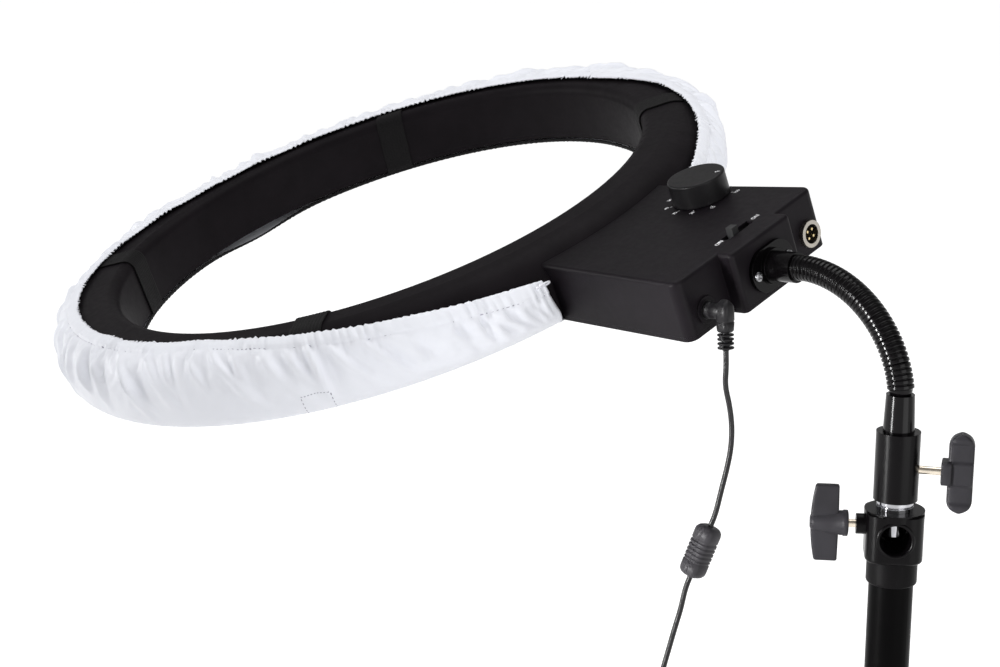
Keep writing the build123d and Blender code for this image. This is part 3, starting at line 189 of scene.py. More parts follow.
class Finish(Nodes):
    """A procedural material under construction, with its sizes in millimetres."""

    def __init__(self, name, colour, roughness, **sockets):
        self.material = bpy.data.materials.new(name)
        self.material.use_nodes = True
        super().__init__(self.material.node_tree)
        self.shader = self.tree.nodes["Principled BSDF"]
        self.place = self.add("ShaderNodeTexCoord").outputs["Object"]
        self.colour, self.roughness = colour, roughness
        self.feed("Base Color", (*colour, 1.0))
        self.feed("Roughness", roughness)
        for socket, value in sockets.items():
            self.feed(socket.replace("_", " "), value)

    def feed(self, socket, value):
        self.put(self.shader.inputs[socket], value)

    def noise(self, size, detail):
        """Noise in patches of about a size."""
        node = self.add("ShaderNodeTexNoise", Vector=self.place, Scale=1.0 / (size * MM), Detail=detail)
        return node.outputs["Fac"]

    def remap(self, value, low, high):
        """Spreads the middle of a noise over a range."""
        node = self.add(
            "ShaderNodeMapRange", Value=value, From_Min=0.35, From_Max=0.65, To_Min=low, To_Max=high
        )
        return node.outputs["Result"]

    def mottle(self, size, share):
        """Varies the colour by a share, in patches."""
        dark = (*(c * (1.0 - share) for c in self.colour), 1.0)
        light = (*(c * (1.0 + share) for c in self.colour), 1.0)
        node = self.add("ShaderNodeMix", {"data_type": "RGBA"})
        for socket, value in ((0, self.remap(self.noise(size, 4.0), 0.0, 1.0)), (6, dark), (7, light)):
            self.put(node.inputs[socket], value)
        self.feed("Base Color", node.outputs[2])
        return self

    def polish(self, size, spread):
        """Varies the roughness by a spread, in patches."""
        low, high = self.roughness - spread, self.roughness + spread
        self.feed("Roughness", self.remap(self.noise(size, 3.0), low, high))
        return self

    def bump(self, height, depth, strength):
        """Adds a height texture to earlier bumps."""
        node = self.add("ShaderNodeBump", Strength=strength, Distance=depth * MM, Height=height)
        earlier = self.shader.inputs["Normal"]
        if earlier.links:
            self.put(node.inputs["Normal"], earlier.links[0].from_socket)
        self.put(earlier, node.outputs["Normal"])
        return self

    def grain(self, size, depth, strength=1.0):
        return self.bump(self.noise(size, 2.0), depth, strength)

    def rounding(self, radius):
        """Softens sharp edges in shading only."""
        self.feed("Normal", self.add("ShaderNodeBevel", {"samples": 4}, Radius=radius * MM).outputs["Normal"])
        return self

    def waves(self, pitch, direction, place):
        """Ridges across one axis. At scale 1 the texture has one every 314.159 mm."""
        scale = 314.159 / pitch
        node = self.add("ShaderNodeTexWave", {"bands_direction": direction}, Vector=place, Scale=scale)
        return node.outputs["Fac"]


def moulded(name, colour, roughness, grain=0.5, depth=0.03, specular=0.3, rounding=0.4, spread=0.025):
    finish = Finish(name, colour, roughness, Specular_IOR_Level=specular)
    if rounding:
        finish.rounding(rounding)
    return finish.mottle(20.0, 0.12).polish(4.0, spread).grain(grain, depth)


def metal(name, colour, roughness, size=4.0, spread=0.05, rounding=0.3):
    finish = Finish(name, colour, roughness, Metallic=1.0).rounding(rounding)
    return finish.mottle(3.0, 0.06).polish(size, spread).grain(0.3, 0.004)


def woven(
    name, colour, roughness, pitch, depth, sheen,
    sheen_roughness=0.5, specular=0.2, patch=30.0, share=0.02, strength=0.6
):
    """Cloth whose weave follows the piece's UV map."""
    finish = Finish(name, colour, roughness, Sheen_Weight=sheen, Specular_IOR_Level=specular)
    finish.feed("Sheen Roughness", sheen_roughness)
    uv = finish.add("ShaderNodeUVMap").outputs["UV"]
    finish.mottle(patch, share)
    for direction in ("X", "Y"):
        finish.bump(finish.waves(pitch, direction, uv), depth, strength)
    return finish


# Name, colour, roughness and further values
MATERIALS = {
    "housing_black": moulded("housing_plastic", (0.0092, 0.0074, 0.0090), 0.52, 0.6, 0.02, 0.05),
    "box_black": moulded("box_plastic", (0.0070, 0.0054, 0.0072), 0.46, 0.5, 0.03, 0.10, 0.6),
    "opal": moulded("opal_diffuser", (0.86, 0.86, 0.84), 0.5, 0.3, 0.01),
    "zinc_screw": metal("dark_zinc", (0.26, 0.26, 0.27), 0.3),
    "loop_white": moulded("white_elastic", (0.86, 0.86, 0.92), 0.7, 0.4, 0.03, 0.2, 0.0),
    "elastic": woven("black_binding", (0.007, 0.0062, 0.007), 0.8, 0.6, 0.08, 0.03),
    "strap_black": woven("black_elastic", (0.0042, 0.0036, 0.0042), 0.8, 1.1, 0.2, 0.015),
    "knob_black": moulded("knob_plastic", (0.0095, 0.0090, 0.0098), 0.36, 0.4, 0.01, 0.16),
    "pot_metal": metal("turned_steel", (0.6, 0.6, 0.6), 0.28),
    "pot_body": moulded("socket_plastic", (0.008, 0.008, 0.008), 0.4, 0.4, 0.01, 0.2),
    "lever_black": moulded("lever_plastic", (0.026, 0.026, 0.027), 0.42, 0.4, 0.01, 0.25, 0.2),
    "nickel": metal("warm_nickel", (0.46, 0.43, 0.38), 0.26),
    "insert_black": moulded("insert_plastic", (0.006, 0.006, 0.006), 0.45, 0.4, 0.01, 0.15, 0.1),
    "pin_gold": metal("plated_pins", (0.78, 0.62, 0.33), 0.25, 2.0, 0.04, 0.1),
    "neck_black": moulded("glossy_black", (0.0018, 0.0015, 0.0018), 0.17, 1.5, 0.004, 0.16, 0.2, 0.01),
    "clamp_black": moulded(
        "satin_black_paint", (0.0014, 0.0011, 0.0014), 0.26, 0.6, 0.001, 0.10, 0.4, 0.008
    ),
    "chrome": metal("polished_chrome", (0.42, 0.42, 0.44), 0.09, 4.0, 0.02),
    "pad_brass": metal("turned_brass", (0.70, 0.54, 0.30), 0.3),
    "screw_bright": metal("bright_plated_steel", (0.74, 0.66, 0.55), 0.22),
    "grip_plastic": moulded("grip_plastic", (0.022, 0.021, 0.024), 0.42, 0.6, 0.02, 0.14),
    "tube_black": moulded("tube_paint", (0.0010, 0.0009, 0.0010), 0.30, 0.6, 0.01, 0.03),
    "collar_plastic": moulded("collar_plastic", (0.0034, 0.0031, 0.0034), 0.40, 0.5, 0.02, 0.05),
    "plug_metal": metal("plated_tip", (0.75, 0.74, 0.70), 0.2),
    "cord_rubber": moulded("cord_rubber", (0.0075, 0.0070, 0.0078), 0.36, 0.6, 0.02, 0.3, 0.0),
    "plug_rubber": moulded("plug_rubber", (0.0095, 0.0090, 0.0100), 0.42, 0.5, 0.03, 0.2, 0.3),
    "bead_plastic": moulded("bead_plastic", (0.034, 0.032, 0.036), 0.45, 0.5, 0.03, 0.2, 0.3),
    "adapter_plastic": moulded("adapter_plastic", (0.009, 0.009, 0.0095), 0.48, 0.8, 0.05, 0.2),
    "thread": moulded("sewing_thread", (0.44, 0.43, 0.50), 0.8, 0.3, 0.01, 0.1, 0.0),
    "print": moulded("white_print", (0.80, 0.80, 0.82), 0.6, 0.3, 0.005, 0.3, 0.0),
    "cloth": woven(
        "white_cover_cloth", (0.893, 0.908, 0.965), 0.40, 0.7, 0.03, 0.15, 0.4, 0.35, 50.0, 0.015, 0.3
    ).grain(9.0, 0.5, 0.25),
    "led": Finish("led_package", (0.85, 0.83, 0.74), 0.35).mottle(1.0, 0.12).grain(0.4, 0.02),
    "board": Finish("white_board", (0.74, 0.75, 0.73), 0.4).mottle(10.0, 0.05).grain(0.8, 0.01),
}

for node in NODES.values():
    for holder in node.material_slots:
        holder.material = MATERIALS[holder.material.name.split(".")[0]].material
for holder in NODES["adapter_relief"].material_slots:
    holder.material = MATERIALS["plug_rubber"].material
power_lead.data.materials.append(MATERIALS["cord_rubber"].material)


# Mesh helpers
def piece(name, points, faces, slot, body="head", uvs=None, material=None):
    """A smooth-shaded mesh piece from points in millimetres."""
    mesh = bpy.data.meshes.new(name)
    mesh.from_pydata([tuple(c * MM for c in p) for p in points], [], faces)
    mesh.validate()
    mesh.polygons.foreach_set("use_smooth", [True] * len(mesh.polygons))
    if uvs is not None:
        layer = mesh.uv_layers.new(name="cloth")
        for loop in mesh.loops:
            layer.data[loop.index].uv = uvs[loop.vertex_index]
    mesh.materials.append(MATERIALS[material or slot].material)
    obj = placed(name, mesh)
    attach(obj, body)
    return obj


def grid_faces(rows, columns, closed=False, start=0):
    """Quads between the rows of a grid."""
    faces = []
    for i in range(rows - 1):
        for j in range(columns if closed else columns - 1):
            k, this, after = (j + 1) % columns, start + i * columns, start + (i + 1) * columns
            faces.append((this + j, this + k, after + k, after + j))
    return faces


def tube_faces(rows, sides, start=0):
    """Quads round rings of points, and a cap over each end."""
    last = start + (rows - 1) * sides
    caps = [tuple(reversed(range(start, start + sides))), tuple(range(last, last + sides))]
    return grid_faces(rows, sides, closed=True, start=start) + caps


def flipped(faces):
    return [tuple(reversed(face)) for face in faces]


def circle(sides):
    """Cosine and sine of equal steps round a circle."""
    turns = [tau * k / sides for k in range(sides)]
    return [(cos(turn), sin(turn)) for turn in turns]


def thicken(obj, thickness, offset):
    shell = obj.modifiers.new("thickness", "SOLIDIFY")
    shell.thickness = thickness * MM
    shell.offset = offset
    return obj


def in_head(x, y, z):
    """Head frame arrays to world points, in millimetres."""
    x, y, z = (np.asarray(v, float).reshape(-1) for v in np.broadcast_arrays(x, y, z))
    axes = np.array([HEAD_X, HEAD_Y, HEAD_Z])
    return np.array(HEAD_ORIGIN) + np.stack([x, y, z], 1) @ axes


def smooth(value, low, high):
    share = np.clip((value - low) / (high - low), 0.0, 1.0)
    return share * share * (3.0 - 2.0 * share)


def hump(value, middle, width):
    """A bell curve of height 1."""
    return np.exp(-((value - middle) / width) ** 2)


# Cloth cover over the front, the outer side and the rim of the back
FRONT_IN_R = 195.5
FRONT_ROUND_R = 11.0
FRONT_ROUND_AT = 235.0
OUTER_R = 246.0
BACK_ROUND_R = 28.0
BACK_ROUND_AT = (218.0, 20.5)
HEM_R = 212.0
BOX_GAP = 58.4
NOMINAL_R = 240.0
FRONT_RUN = FRONT_ROUND_AT - FRONT_IN_R
FRONT_ARC = FRONT_ROUND_R * pi / 2
SIDE_RUN = BACK_ROUND_AT[1] - FRONT_ROUND_R
CLOTH_THICK = 0.6
CASING = 9.5
END_ANGLE = asin(BOX_GAP / NOMINAL_R)
OPEN_ANGLE = tau - 2 * END_ANGLE
END_ALONG = END_ANGLE * NOMINAL_R

# The hem lies further out on one side of the ring than on the other
HEM_DRIFT = (
    (0, 0.0), (60, -2.0), (90, -5.0), (120, -6.0), (165, -6.0), (182, -4.5), (196, 1.0), (210, 6.0),
    (224, 10.0), (240, 11.0), (256, 9.0), (272, 6.5), (286, 4.5), (300, 1.0), (320, 0.0), (360, 0.0)
)

# Beside the box the hem stays outside a circle round a point on the box's side of the centre
GUARD_AT = 41.0
GUARD_R = 204.0


def hem_radius(angle):
    x, y = GUARD_AT * np.cos(angle), GUARD_AT * np.sin(angle)
    drift = np.interp(np.degrees(angle) % 360.0, *zip(*HEM_DRIFT))
    return np.maximum(HEM_R + drift, x + np.sqrt(GUARD_R ** 2 - y ** 2))


def section_length(angle):
    over = np.clip((hem_radius(angle) - BACK_ROUND_AT[0]) / BACK_ROUND_R, 0.0, 1.0)
    arc = BACK_ROUND_R * np.arccos(over)
    flat = np.maximum(BACK_ROUND_AT[0] - hem_radius(angle), 0.0)
    return FRONT_RUN + FRONT_ARC + SIDE_RUN + arc + flat


def section(run):
    """Radius, height and outward direction at a length along the section."""
    run = np.asarray(run, float)
    front = run - FRONT_RUN
    side = front - FRONT_ARC
    back = side - SIDE_RUN
    first = front / FRONT_ROUND_R - pi / 2
    second = np.minimum(back / BACK_ROUND_R, pi / 2)
    zero = np.zeros_like(run)

    def choose(*four):
        return np.select([front <= 0, side <= 0, back <= 0], four[:3], four[3])

    turn = choose(zero - pi / 2, first, zero, second)
    r = choose(
        FRONT_IN_R + run, FRONT_ROUND_AT + FRONT_ROUND_R * np.cos(first), zero + OUTER_R,
        BACK_ROUND_AT[0] + BACK_ROUND_R * np.cos(second) - np.maximum(back - BACK_ROUND_R * pi / 2, 0.0)
    )
    z = choose(
        zero, FRONT_ROUND_R + FRONT_ROUND_R * np.sin(first), FRONT_ROUND_R + side,
        BACK_ROUND_AT[1] + BACK_ROUND_R * np.sin(second)
    )
    return r, z, np.cos(turn), np.sin(turn)


chance = random.Random(7)


def wavelets(count, low, high, slope):
    """Random ripples: wavelengths along the ring, and their slope across it."""
    ripples = []
    for _ in range(count):
        number = tau / chance.uniform(low, high)
        ripples.append((number, number * chance.uniform(-slope, slope), chance.uniform(0, tau)))
    return ripples


def ripple(along, across, ripples):
    total = np.zeros_like(along)
    for k, l, phase in ripples:
        total += np.sin(k * along + l * across + phase)
    return total / sqrt(len(ripples))


SLACK = wavelets(9, 45.0, 120.0, 0.8)
PUCKER = wavelets(6, 3.2, 6.0, 0.15)
PUCKER_SIZE = wavelets(5, 14.0, 60.0, 0.0)
FRILL = wavelets(6, 2.8, 5.0, 0.0)
CREASE = wavelets(8, 9.0, 22.0, 1.6)
CREASE_SIZE = wavelets(5, 40.0, 160.0, 0.5)

# Creases that fan out from each end of the hem: reach along, depth, width and height
FAN_FROM = 44.0
FAN = (
    (4, 10, 1.5, 2.0), (11, 10, 1.6, 2.4), (20, 11, 1.8, 2.8), (31, 11, 2.0, 2.6), (44, 12, 2.4, 3.0),
    (62, 13, 2.6, 2.6), (84, 15, 3.2, 2.8), (108, 20, 3.6, 2.4), (126, 32, 4.2, 2.0), (110, 44, 4.0, 1.6)
)


def fold_lines():
    """Creases as (along, across) ends, width, height, for one side of the ring."""
    folds = []
    along = END_ALONG + 40.0
    while along < pi * NOMINAL_R:
        slant = chance.uniform(0.15, 1.0)
        first = chance.uniform(6.0, 14.0)
        reach = chance.uniform(26.0, 64.0)
        folds.append((
            (along, first), (along - slant * reach, first + reach),
            chance.uniform(2.2, 4.6), chance.uniform(1.8, 4.2)
        ))
        along += chance.uniform(8.0, 22.0)
    for far, depth, width, height in FAN:
        folds.append(((END_ALONG - 1.0, FAN_FROM), (END_ALONG + far, depth), width, height))
    return folds


FOLDS = {1: fold_lines(), -1: fold_lines()}
GATHER = wavelets(5, 11.0, 22.0, 0.2)
GATHER_SIZE = wavelets(4, 50.0, 140.0, 0.0)


def folded(along, across, folds):
    """Height of the creases at places on the cover."""
    total = np.zeros_like(along)
    for (a0, c0), (a1, c1), width, height in folds:
        da, dc = a1 - a0, c1 - c0
        length = hypot(da, dc)
        share = ((along - a0) * da + (across - c0) * dc) / length ** 2
        aside = ((along - a0) * dc - (across - c0) * da) / length
        near = (share > -0.25) & (share < 1.25) & (np.abs(aside) < 4 * width)
        if not near.any():
            continue
        s, x = share[near], aside[near] / width
        fade = smooth(s, -0.12, 0.12) * (1 - smooth(s, 0.45, 1.15))
        total[near] += height * fade * (np.exp(-x * x) - 0.45 * hump(x, -1.5, 1.0))
    return total


# The inner edge hangs clear of the ring on the far left
SAG = 3.8
SAG_AT = 177.0
SAG_WIDE = 10.5
SAG_RUN = 24.0


def sag(angle):
    return SAG * hump(np.degrees(angle) % 360.0, SAG_AT, SAG_WIDE)


# Heights of the cover's ripples, and where the cloth lies calmer
SLACK_HIGH = 0.8
CREASE_HIGH = 0.3
PUCKER_HIGH = 0.85
PUCKER_FADE = 9.0
GATHER_HIGH = 1.6
GATHER_FADE = 30.0
CASING_HIGH = 1.0
SEAM_DEEP = 0.5
FRILL_HIGH = 0.95
CALM_AT = 145.0
CALM_WIDE = 26.0

# How far cloth may press in on the flat back, on the flat front and where it spans a corner
BACK_FLOOR = -0.35
FRONT_FLOOR = -0.4
CORNER_FLOOR = -4.6

# The hem's ends are pulled along the ring, away from the box
END_PULL = 6.5
END_PULL_FADE = 16.0


def cloth_height(angle, run, length, along, side, out_z):
    """Height of creases, gathers and casing over the smooth section."""
    across = length - run
    height = SLACK_HIGH * ripple(along + side * 300, across, SLACK)
    sized = 0.5 + 0.5 * np.tanh(ripple(along + side * 70, across, CREASE_SIZE))
    height += CREASE_HIGH * sized * ripple(along - side * 41, across, CREASE)
    for which, folds in FOLDS.items():
        chosen = side == which
        height[chosen] += folded(along[chosen], across[chosen], folds)
    calm = hump(np.degrees(angle), CALM_AT, CALM_WIDE)
    height *= 1.0 - 0.5 * calm
    front = smooth(run, FRONT_RUN + 7.0, FRONT_RUN + FRONT_ARC + 14.0)
    height *= front * (0.35 + 0.65 * smooth(across, 3.0, 26.0))

    pucker = ripple(along + side * 13, across, PUCKER)
    pucker *= 0.65 + 0.35 * ripple(along, across, PUCKER_SIZE)
    past = np.maximum(across - CASING, 0.0)
    height += PUCKER_HIGH * pucker * np.exp(-past / PUCKER_FADE) * smooth(length - across, 5, 30)

    gather = ripple(along + side * 27, across, GATHER)
    gather *= 0.7 + 0.3 * ripple(along - side * 9, across, GATHER_SIZE)
    below = smooth(across, CASING, CASING + 6.0)
    below *= np.exp(-np.maximum(across - CASING - 6.0, 0.0) / GATHER_FADE)
    height += GATHER_HIGH * gather * below * front * (1.0 - 0.6 * calm)

    casing = np.clip(1.0 - ((across - CASING / 2) / (CASING / 2)) ** 2, 0.0, None)
    height += CASING_HIGH * np.sqrt(casing)
    height -= SEAM_DEEP * hump(across, CASING, 1.0)

    corner = CORNER_FLOOR * np.clip(1 - np.abs(out_z), 0.1, 1)
    floor = np.where(out_z > 0.9, BACK_FLOOR, np.where(out_z < -0.9, FRONT_FLOOR, corner))
    height = np.where(height < floor, floor + 0.25 * (height - floor), height)
    return np.maximum(height, floor - 0.1)


def cover_point(angle, run):
    """World points on the cover, by nominal angle and length along the section."""
    angle, run = np.broadcast_arrays(np.asarray(angle, float), np.asarray(run, float))
    angle, run = angle.ravel(), run.ravel()
    length = section_length(angle)
    across = length - run
    side = np.where(angle < pi, 1, -1)
    along = np.where(side > 0, angle, tau - angle) * NOMINAL_R
    r, z, out_r, out_z = section(run)
    height = cloth_height(angle, run, length, along, side, out_z)
    r, z = r + out_r * height, z + out_z * height
    z = z - sag(angle) * (1.0 - smooth(run, 0.0, SAG_RUN))
    edge = FRILL_HIGH * ripple(along + side * 5, along * 0, FRILL) * np.exp(-across / 2.6)
    r = r - edge * np.where(out_z > 0.5, 1.0, 0.2)
    start = np.arcsin(BOX_GAP / r)
    share = (angle - END_ANGLE) / OPEN_ANGLE
    true = start + share * (tau - 2 * start)
    pulled = END_PULL * np.exp(-(along - END_ALONG) / END_PULL_FADE) * (1 - smooth(across, 2.0, 42.0))
    true = true + side * pulled / NOMINAL_R
    return in_head(r * np.cos(true), r * np.sin(true), z)


def cover():
    """Cloth round the ring, and its front across the gap for the box."""
    columns, rows = 900, 66
    angles = np.linspace(END_ANGLE, tau - END_ANGLE, columns)
    shares = 1.0 - (1.0 - np.linspace(0, 1, rows)) ** 1.15
    runs = shares[:, None] * section_length(angles)[None, :]
    angles = np.broadcast_to(angles, runs.shape)
    points = list(cover_point(angles, runs))
    uvs = [(a * NOMINAL_R * MM, s * MM) for a, s in zip(angles.ravel(), runs.ravel())]
    faces = grid_faces(rows, columns)
    columns, rows = 30, 18
    faces += flipped(grid_faces(rows, columns, start=len(points)))
    for i in range(rows):
        for j in range(columns):
            y = (BOX_GAP + 0.4) * (2 * j / (columns - 1) - 1)
            inner = sqrt(FRONT_IN_R ** 2 - y * y)
            x = inner + (231.6 - inner) * i / (rows - 1)
            points.append(in_head(x, y, 0.25)[0])
            uvs.append((y * MM, x * MM))
    return thicken(piece("ring_cover", points, faces, "cloth", uvs=uvs), CLOTH_THICK, 0.0)


ring_cover = cover()
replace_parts(ring_cover, "fabric_cover")


# Sewing on the cover: a stitched box under each strap, and the seam of the hem
STRAP_ANGLES = (52.0, 137.0, 216.0, 308.6)
STITCH_R = 0.46
SEWN_BOX = (58.0, 40.0)
SEWN_BOX_HALF = 9.5
HEM_STITCHES = 420


def stitches(name, pairs):
    """Short threads between pairs of points."""
    points, faces = [], []
    rings = ((0.0, 0.35), (0.18, 1.0), (0.82, 1.0), (1.0, 0.35))
    sides = 6
    for first, last in pairs:
        first, last = Vector(first), Vector(last)
        way = (last - first).normalized()
        one = way.orthogonal().normalized()
        two = way.cross(one)
        faces += tube_faces(len(rings), sides, len(points))
        for share, size in rings:
            centre = first.lerp(last, share)
            points += [centre + (one * c + two * s) * STITCH_R * size for c, s in circle(sides)]
    uvs = [(p[0] * MM, p[2] * MM) for p in points]
    return piece(name, points, faces, "cloth", uvs=uvs, material="thread")


def stitch_ends(low, high, count, filled):
    """Starts and ends of equal stitches between two places."""
    step = (high - low) / count
    return [end for k in range(count) for end in (low + step * k, low + step * (k + filled))]


def sewn_box(middle):
    """Ends of the stitches round one box."""
    length = float(section_length(middle))
    low, high = (length - inset for inset in SEWN_BOX)
    half = SEWN_BOX_HALF / OUTER_R
    left, right = middle - half, middle + half
    ends = [(at, run) for run in (low, high) for at in stitch_ends(left, right, 9, 0.68)]
    return ends + [(at, run) for at in (left, right) for run in stitch_ends(low, high, 6, 0.68)]


def cover_thread(ends):
    """Pairs of points on the cover, from stitch ends as nominal angle and run."""
    angles, runs = (np.array(v) for v in zip(*ends))
    points = cover_point(angles, runs)
    return list(zip(points[0::2], points[1::2]))


def cover_sewing():
    pairs = []
    for degrees in STRAP_ANGLES:
        pairs += cover_thread(sewn_box(radians(degrees)))
    shift = 0.2 * OPEN_ANGLE / HEM_STITCHES
    seam = stitch_ends(END_ANGLE + shift, END_ANGLE + OPEN_ANGLE + shift, HEM_STITCHES, 0.6)
    pairs += cover_thread([(at, float(section_length(at)) - CASING) for at in seam])
    return stitches("cover_stitches", pairs)


cover_stitches = cover_sewing()


# Elastic binding along the hole's front edge
BINDING_R = 194.0
BINDING_COLUMNS = 720


def binding():
    profile = (
        (195.9, 0.45), (195.1, 0.0), (194.4, 0.05), (193.9, 0.5), (193.75, 1.2), (193.8, 1.9),
        (194.1, 2.4), (194.6, 2.6)
    )
    angle = np.linspace(0.0, tau, BINDING_COLUMNS, endpoint=False)
    along = angle * BINDING_R
    closing = np.minimum(3.0 - 3.0 * np.cos(angle), 1.0)
    pucker = 0.22 * closing * ripple(along, along * 0, wavelets(5, 3.0, 5.5, 0.0))
    points, uvs = [], []
    for i, (r, z) in enumerate(profile):
        radius = r + (pucker - 0.1 if 1 < i < 7 else 0.0)
        height = z * (1.0 - 0.12 * sag(angle)) + 0.5 * pucker - sag(angle)
        points += list(in_head(radius * np.cos(angle), radius * np.sin(angle), height))
        uvs += [(place * MM, i * 0.0011) for place in along]
    faces = grid_faces(len(profile), BINDING_COLUMNS, closed=True)
    return thicken(piece("hole_binding", points, faces, "elastic", uvs=uvs), 0.5, 1.0)


hole_binding = binding()
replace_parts(hole_binding, "inner_hem")


# Four elastic straps from the hem over the inner corner and down the hole's wall
STRAP_WIDE = 21.0
STRAP_THICK = 0.9
STRAP_COLUMNS = 55
STRAP_RIBS = 9
STRAP_LEAN = (0.0, 5.0, 2.0, 0.0)
LEAN_RUN = 50.0
STRAP_START = 2.2
WALL_R = 194.15
CORNER_AT_R = 202.0
BACK_Z = 46.85
RIM_AT_R = 216.0
RIM_ROUND_R = 24.0


def strap_line(angle):
    """Radius and height along one strap."""
    bend = CORNER_AT_R - WALL_R
    line = [(WALL_R, float(z)) for z in np.linspace(STRAP_START, BACK_Z - bend, 11)]
    for i in range(1, 9):
        turn = pi / 2 * i / 8
        line.append((CORNER_AT_R - bend * cos(turn), BACK_Z - bend + bend * sin(turn)))
    end = float(hem_radius(angle)) + 1.5
    for i in range(1, 10):
        r = CORNER_AT_R + (end - CORNER_AT_R) * i / 9
        fall = RIM_ROUND_R - sqrt(RIM_ROUND_R ** 2 - max(r - RIM_AT_R, 0.0) ** 2)
        line.append((r, BACK_Z - fall))
    return line


def elastic_strap(number, degrees):
    angle = radians(degrees)
    line = strap_line(angle)
    share = np.linspace(0.0, 1.0, STRAP_COLUMNS)
    rib = 0.16 * np.abs(np.sin(share * pi * STRAP_RIBS)) - 0.1
    points, uvs = [], []
    travelled = 0.0
    for i, (r, z) in enumerate(line):
        ahead, behind = line[min(i + 1, len(line) - 1)], line[max(i - 1, 0)]
        tangent = Vector((ahead[0] - behind[0], ahead[1] - behind[1])).normalized()
        if i:
            travelled += dist(line[i - 1], (r, z))
        wave = 0.18 * sin(travelled / 3.1 + number) + 0.12 * sin(travelled / 7.7 + 2 * number)
        lean = STRAP_LEAN[number - 1] * (1.0 - min(travelled / LEAN_RUN, 1.0))
        across = (share - 0.5) * (STRAP_WIDE + wave) + lean
        radius = r - tangent[1] * rib
        x = np.sqrt(radius ** 2 - across ** 2)
        points += list(in_head(
            x * cos(angle) - across * sin(angle),
            x * sin(angle) + across * cos(angle), z + tangent[0] * rib
        ))
        uvs += [(place * MM, travelled * MM) for place in across]
    faces = grid_faces(len(line), STRAP_COLUMNS)
    strap = piece(f"elastic_strap_{number}", points, faces, "strap_black", uvs=uvs)
    thicken(strap, STRAP_THICK, 0.0)
    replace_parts(strap, "hold_straps")


for number, degrees in enumerate(STRAP_ANGLES, 1):
    elastic_strap(number, degrees)


# Ribbed gooseneck, drawn along its bend
HOSE_ROOT = 6.5
HOSE_CREST = 7.35
HOSE_SIDES = 44
RIB_PITCH = 2.72
RIBS_PER_LINK = 5
BALL_R = 6.4
CAP_R = 3.0
BALLS = (
    (0.0, 358.6), (-3.52, 371.737), (-9.821, 383.789), (-18.416, 394.328), (-28.895, 402.997),
    (-40.859, 409.466), (-53.85, 413.487), (-67.368, 414.98)
)
TURNS = (15.0, 12.6, 11.6, 11.2, 11.2, 11.2, 10.9, 10.5)
END_WAY = 184.2
END_LONG = 24.0


def rib_radius(place):
    """Radius of the ribbed wall at a place in pitches."""
    aside = abs((place % 1.0) - 0.5) * 2
    return HOSE_CREST - (HOSE_CREST - HOSE_ROOT) * float(smooth(aside, 0.58, 0.94))


def lathed(name, stations, slot, body):
    """A turned piece through stations of centre and heading in XZ, and radius."""
    points = []
    for (x, z), heading, radius in stations:
        side = Vector((sin(heading), 0.0, -cos(heading)))
        points += [Vector((x, 0.0, z)) + (side * c + SIDE * s) * radius for c, s in circle(HOSE_SIDES)]
    return piece(name, points, flipped(tube_faces(len(stations), HOSE_SIDES)), slot, body)


def ball(centre, way):
    """Stations of a link's rounded start."""
    stations = []
    for k in range(6):
        dip = radians(80 - 15 * k)
        back = Vector((cos(way), sin(way))) * BALL_R * sin(dip)
        stations.append((Vector(centre) - back, way, BALL_R * cos(dip)))
    return stations


def hose_link(i, heading):
    """One link between two pivots, bulging to the outside of the bend."""
    first, last = Vector(BALLS[i]), Vector(BALLS[i + 1])
    turning = (TURNS[i] + TURNS[i + 1]) / 2
    bulge = (last - first).length * radians(turning) / 8
    out = Vector((sin(radians(heading)), -cos(radians(heading))))
    begin = heading - TURNS[i] / 2
    stations = ball(first, radians(begin))
    for k in range(51):
        share = k / 50
        centre = first.lerp(last, share) + out * bulge * 4 * share * (1 - share)
        stations.append((centre, radians(begin + share * turning), rib_radius(RIBS_PER_LINK * share)))
    stations.append((*stations[-1][:2], CAP_R))
    link = lathed(f"hose_{i + 1}", stations, "neck_black", f"neck_link_{i + 1}")
    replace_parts(link, f"neck_link_{i + 1}")


def hose_end():
    """The last ribs, and the smooth end in the box's flange."""
    way = radians(END_WAY)
    start, along = Vector(BALLS[-1]), Vector((cos(way), sin(way)))
    stations = ball(start, way)
    for k in range(30):
        stations.append((start + along * (k / 10) * RIB_PITCH, way, rib_radius(k / 10)))
    stations += [(start + along * END_LONG, way, radius) for radius in (HOSE_ROOT, CAP_R)]
    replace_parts(lathed("hose_end", stations, "neck_black", "head"), "neck_end")


heading = 90.0
for i in range(7):
    heading += TURNS[i]
    hose_link(i, heading)
hose_end()


# Printing on the panel
PANEL_Z = 38.0
DIAL = (276.0, 41.0)
DIAL_STEPS = 10
NUMBER_R = 22.4
NUMBER_SIZE = 3.3
SWITCH_WORD_SIZE = 3.9
PANEL_EDGE_Y = 58


def printed(name, text, x, y, size):
    """Flat white characters on the panel, reading along the head's Y axis."""
    curve = bpy.data.curves.new(name, "FONT")
    curve.body = text
    curve.size = size * MM
    curve.align_x = curve.align_y = "CENTER"
    curve.extrude = 0.015 * MM
    curve.offset = 0.03 * MM
    curve.materials.append(MATERIALS["print"].material)
    obj = placed(name, curve)
    obj.matrix_world = oriented(head_point(x, y, PANEL_Z + 0.03), HEAD_Y, -HEAD_X, HEAD_Z)
    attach(obj, "head")


def dial_angle(step):
    return radians(28.0 + 33.4 * step)


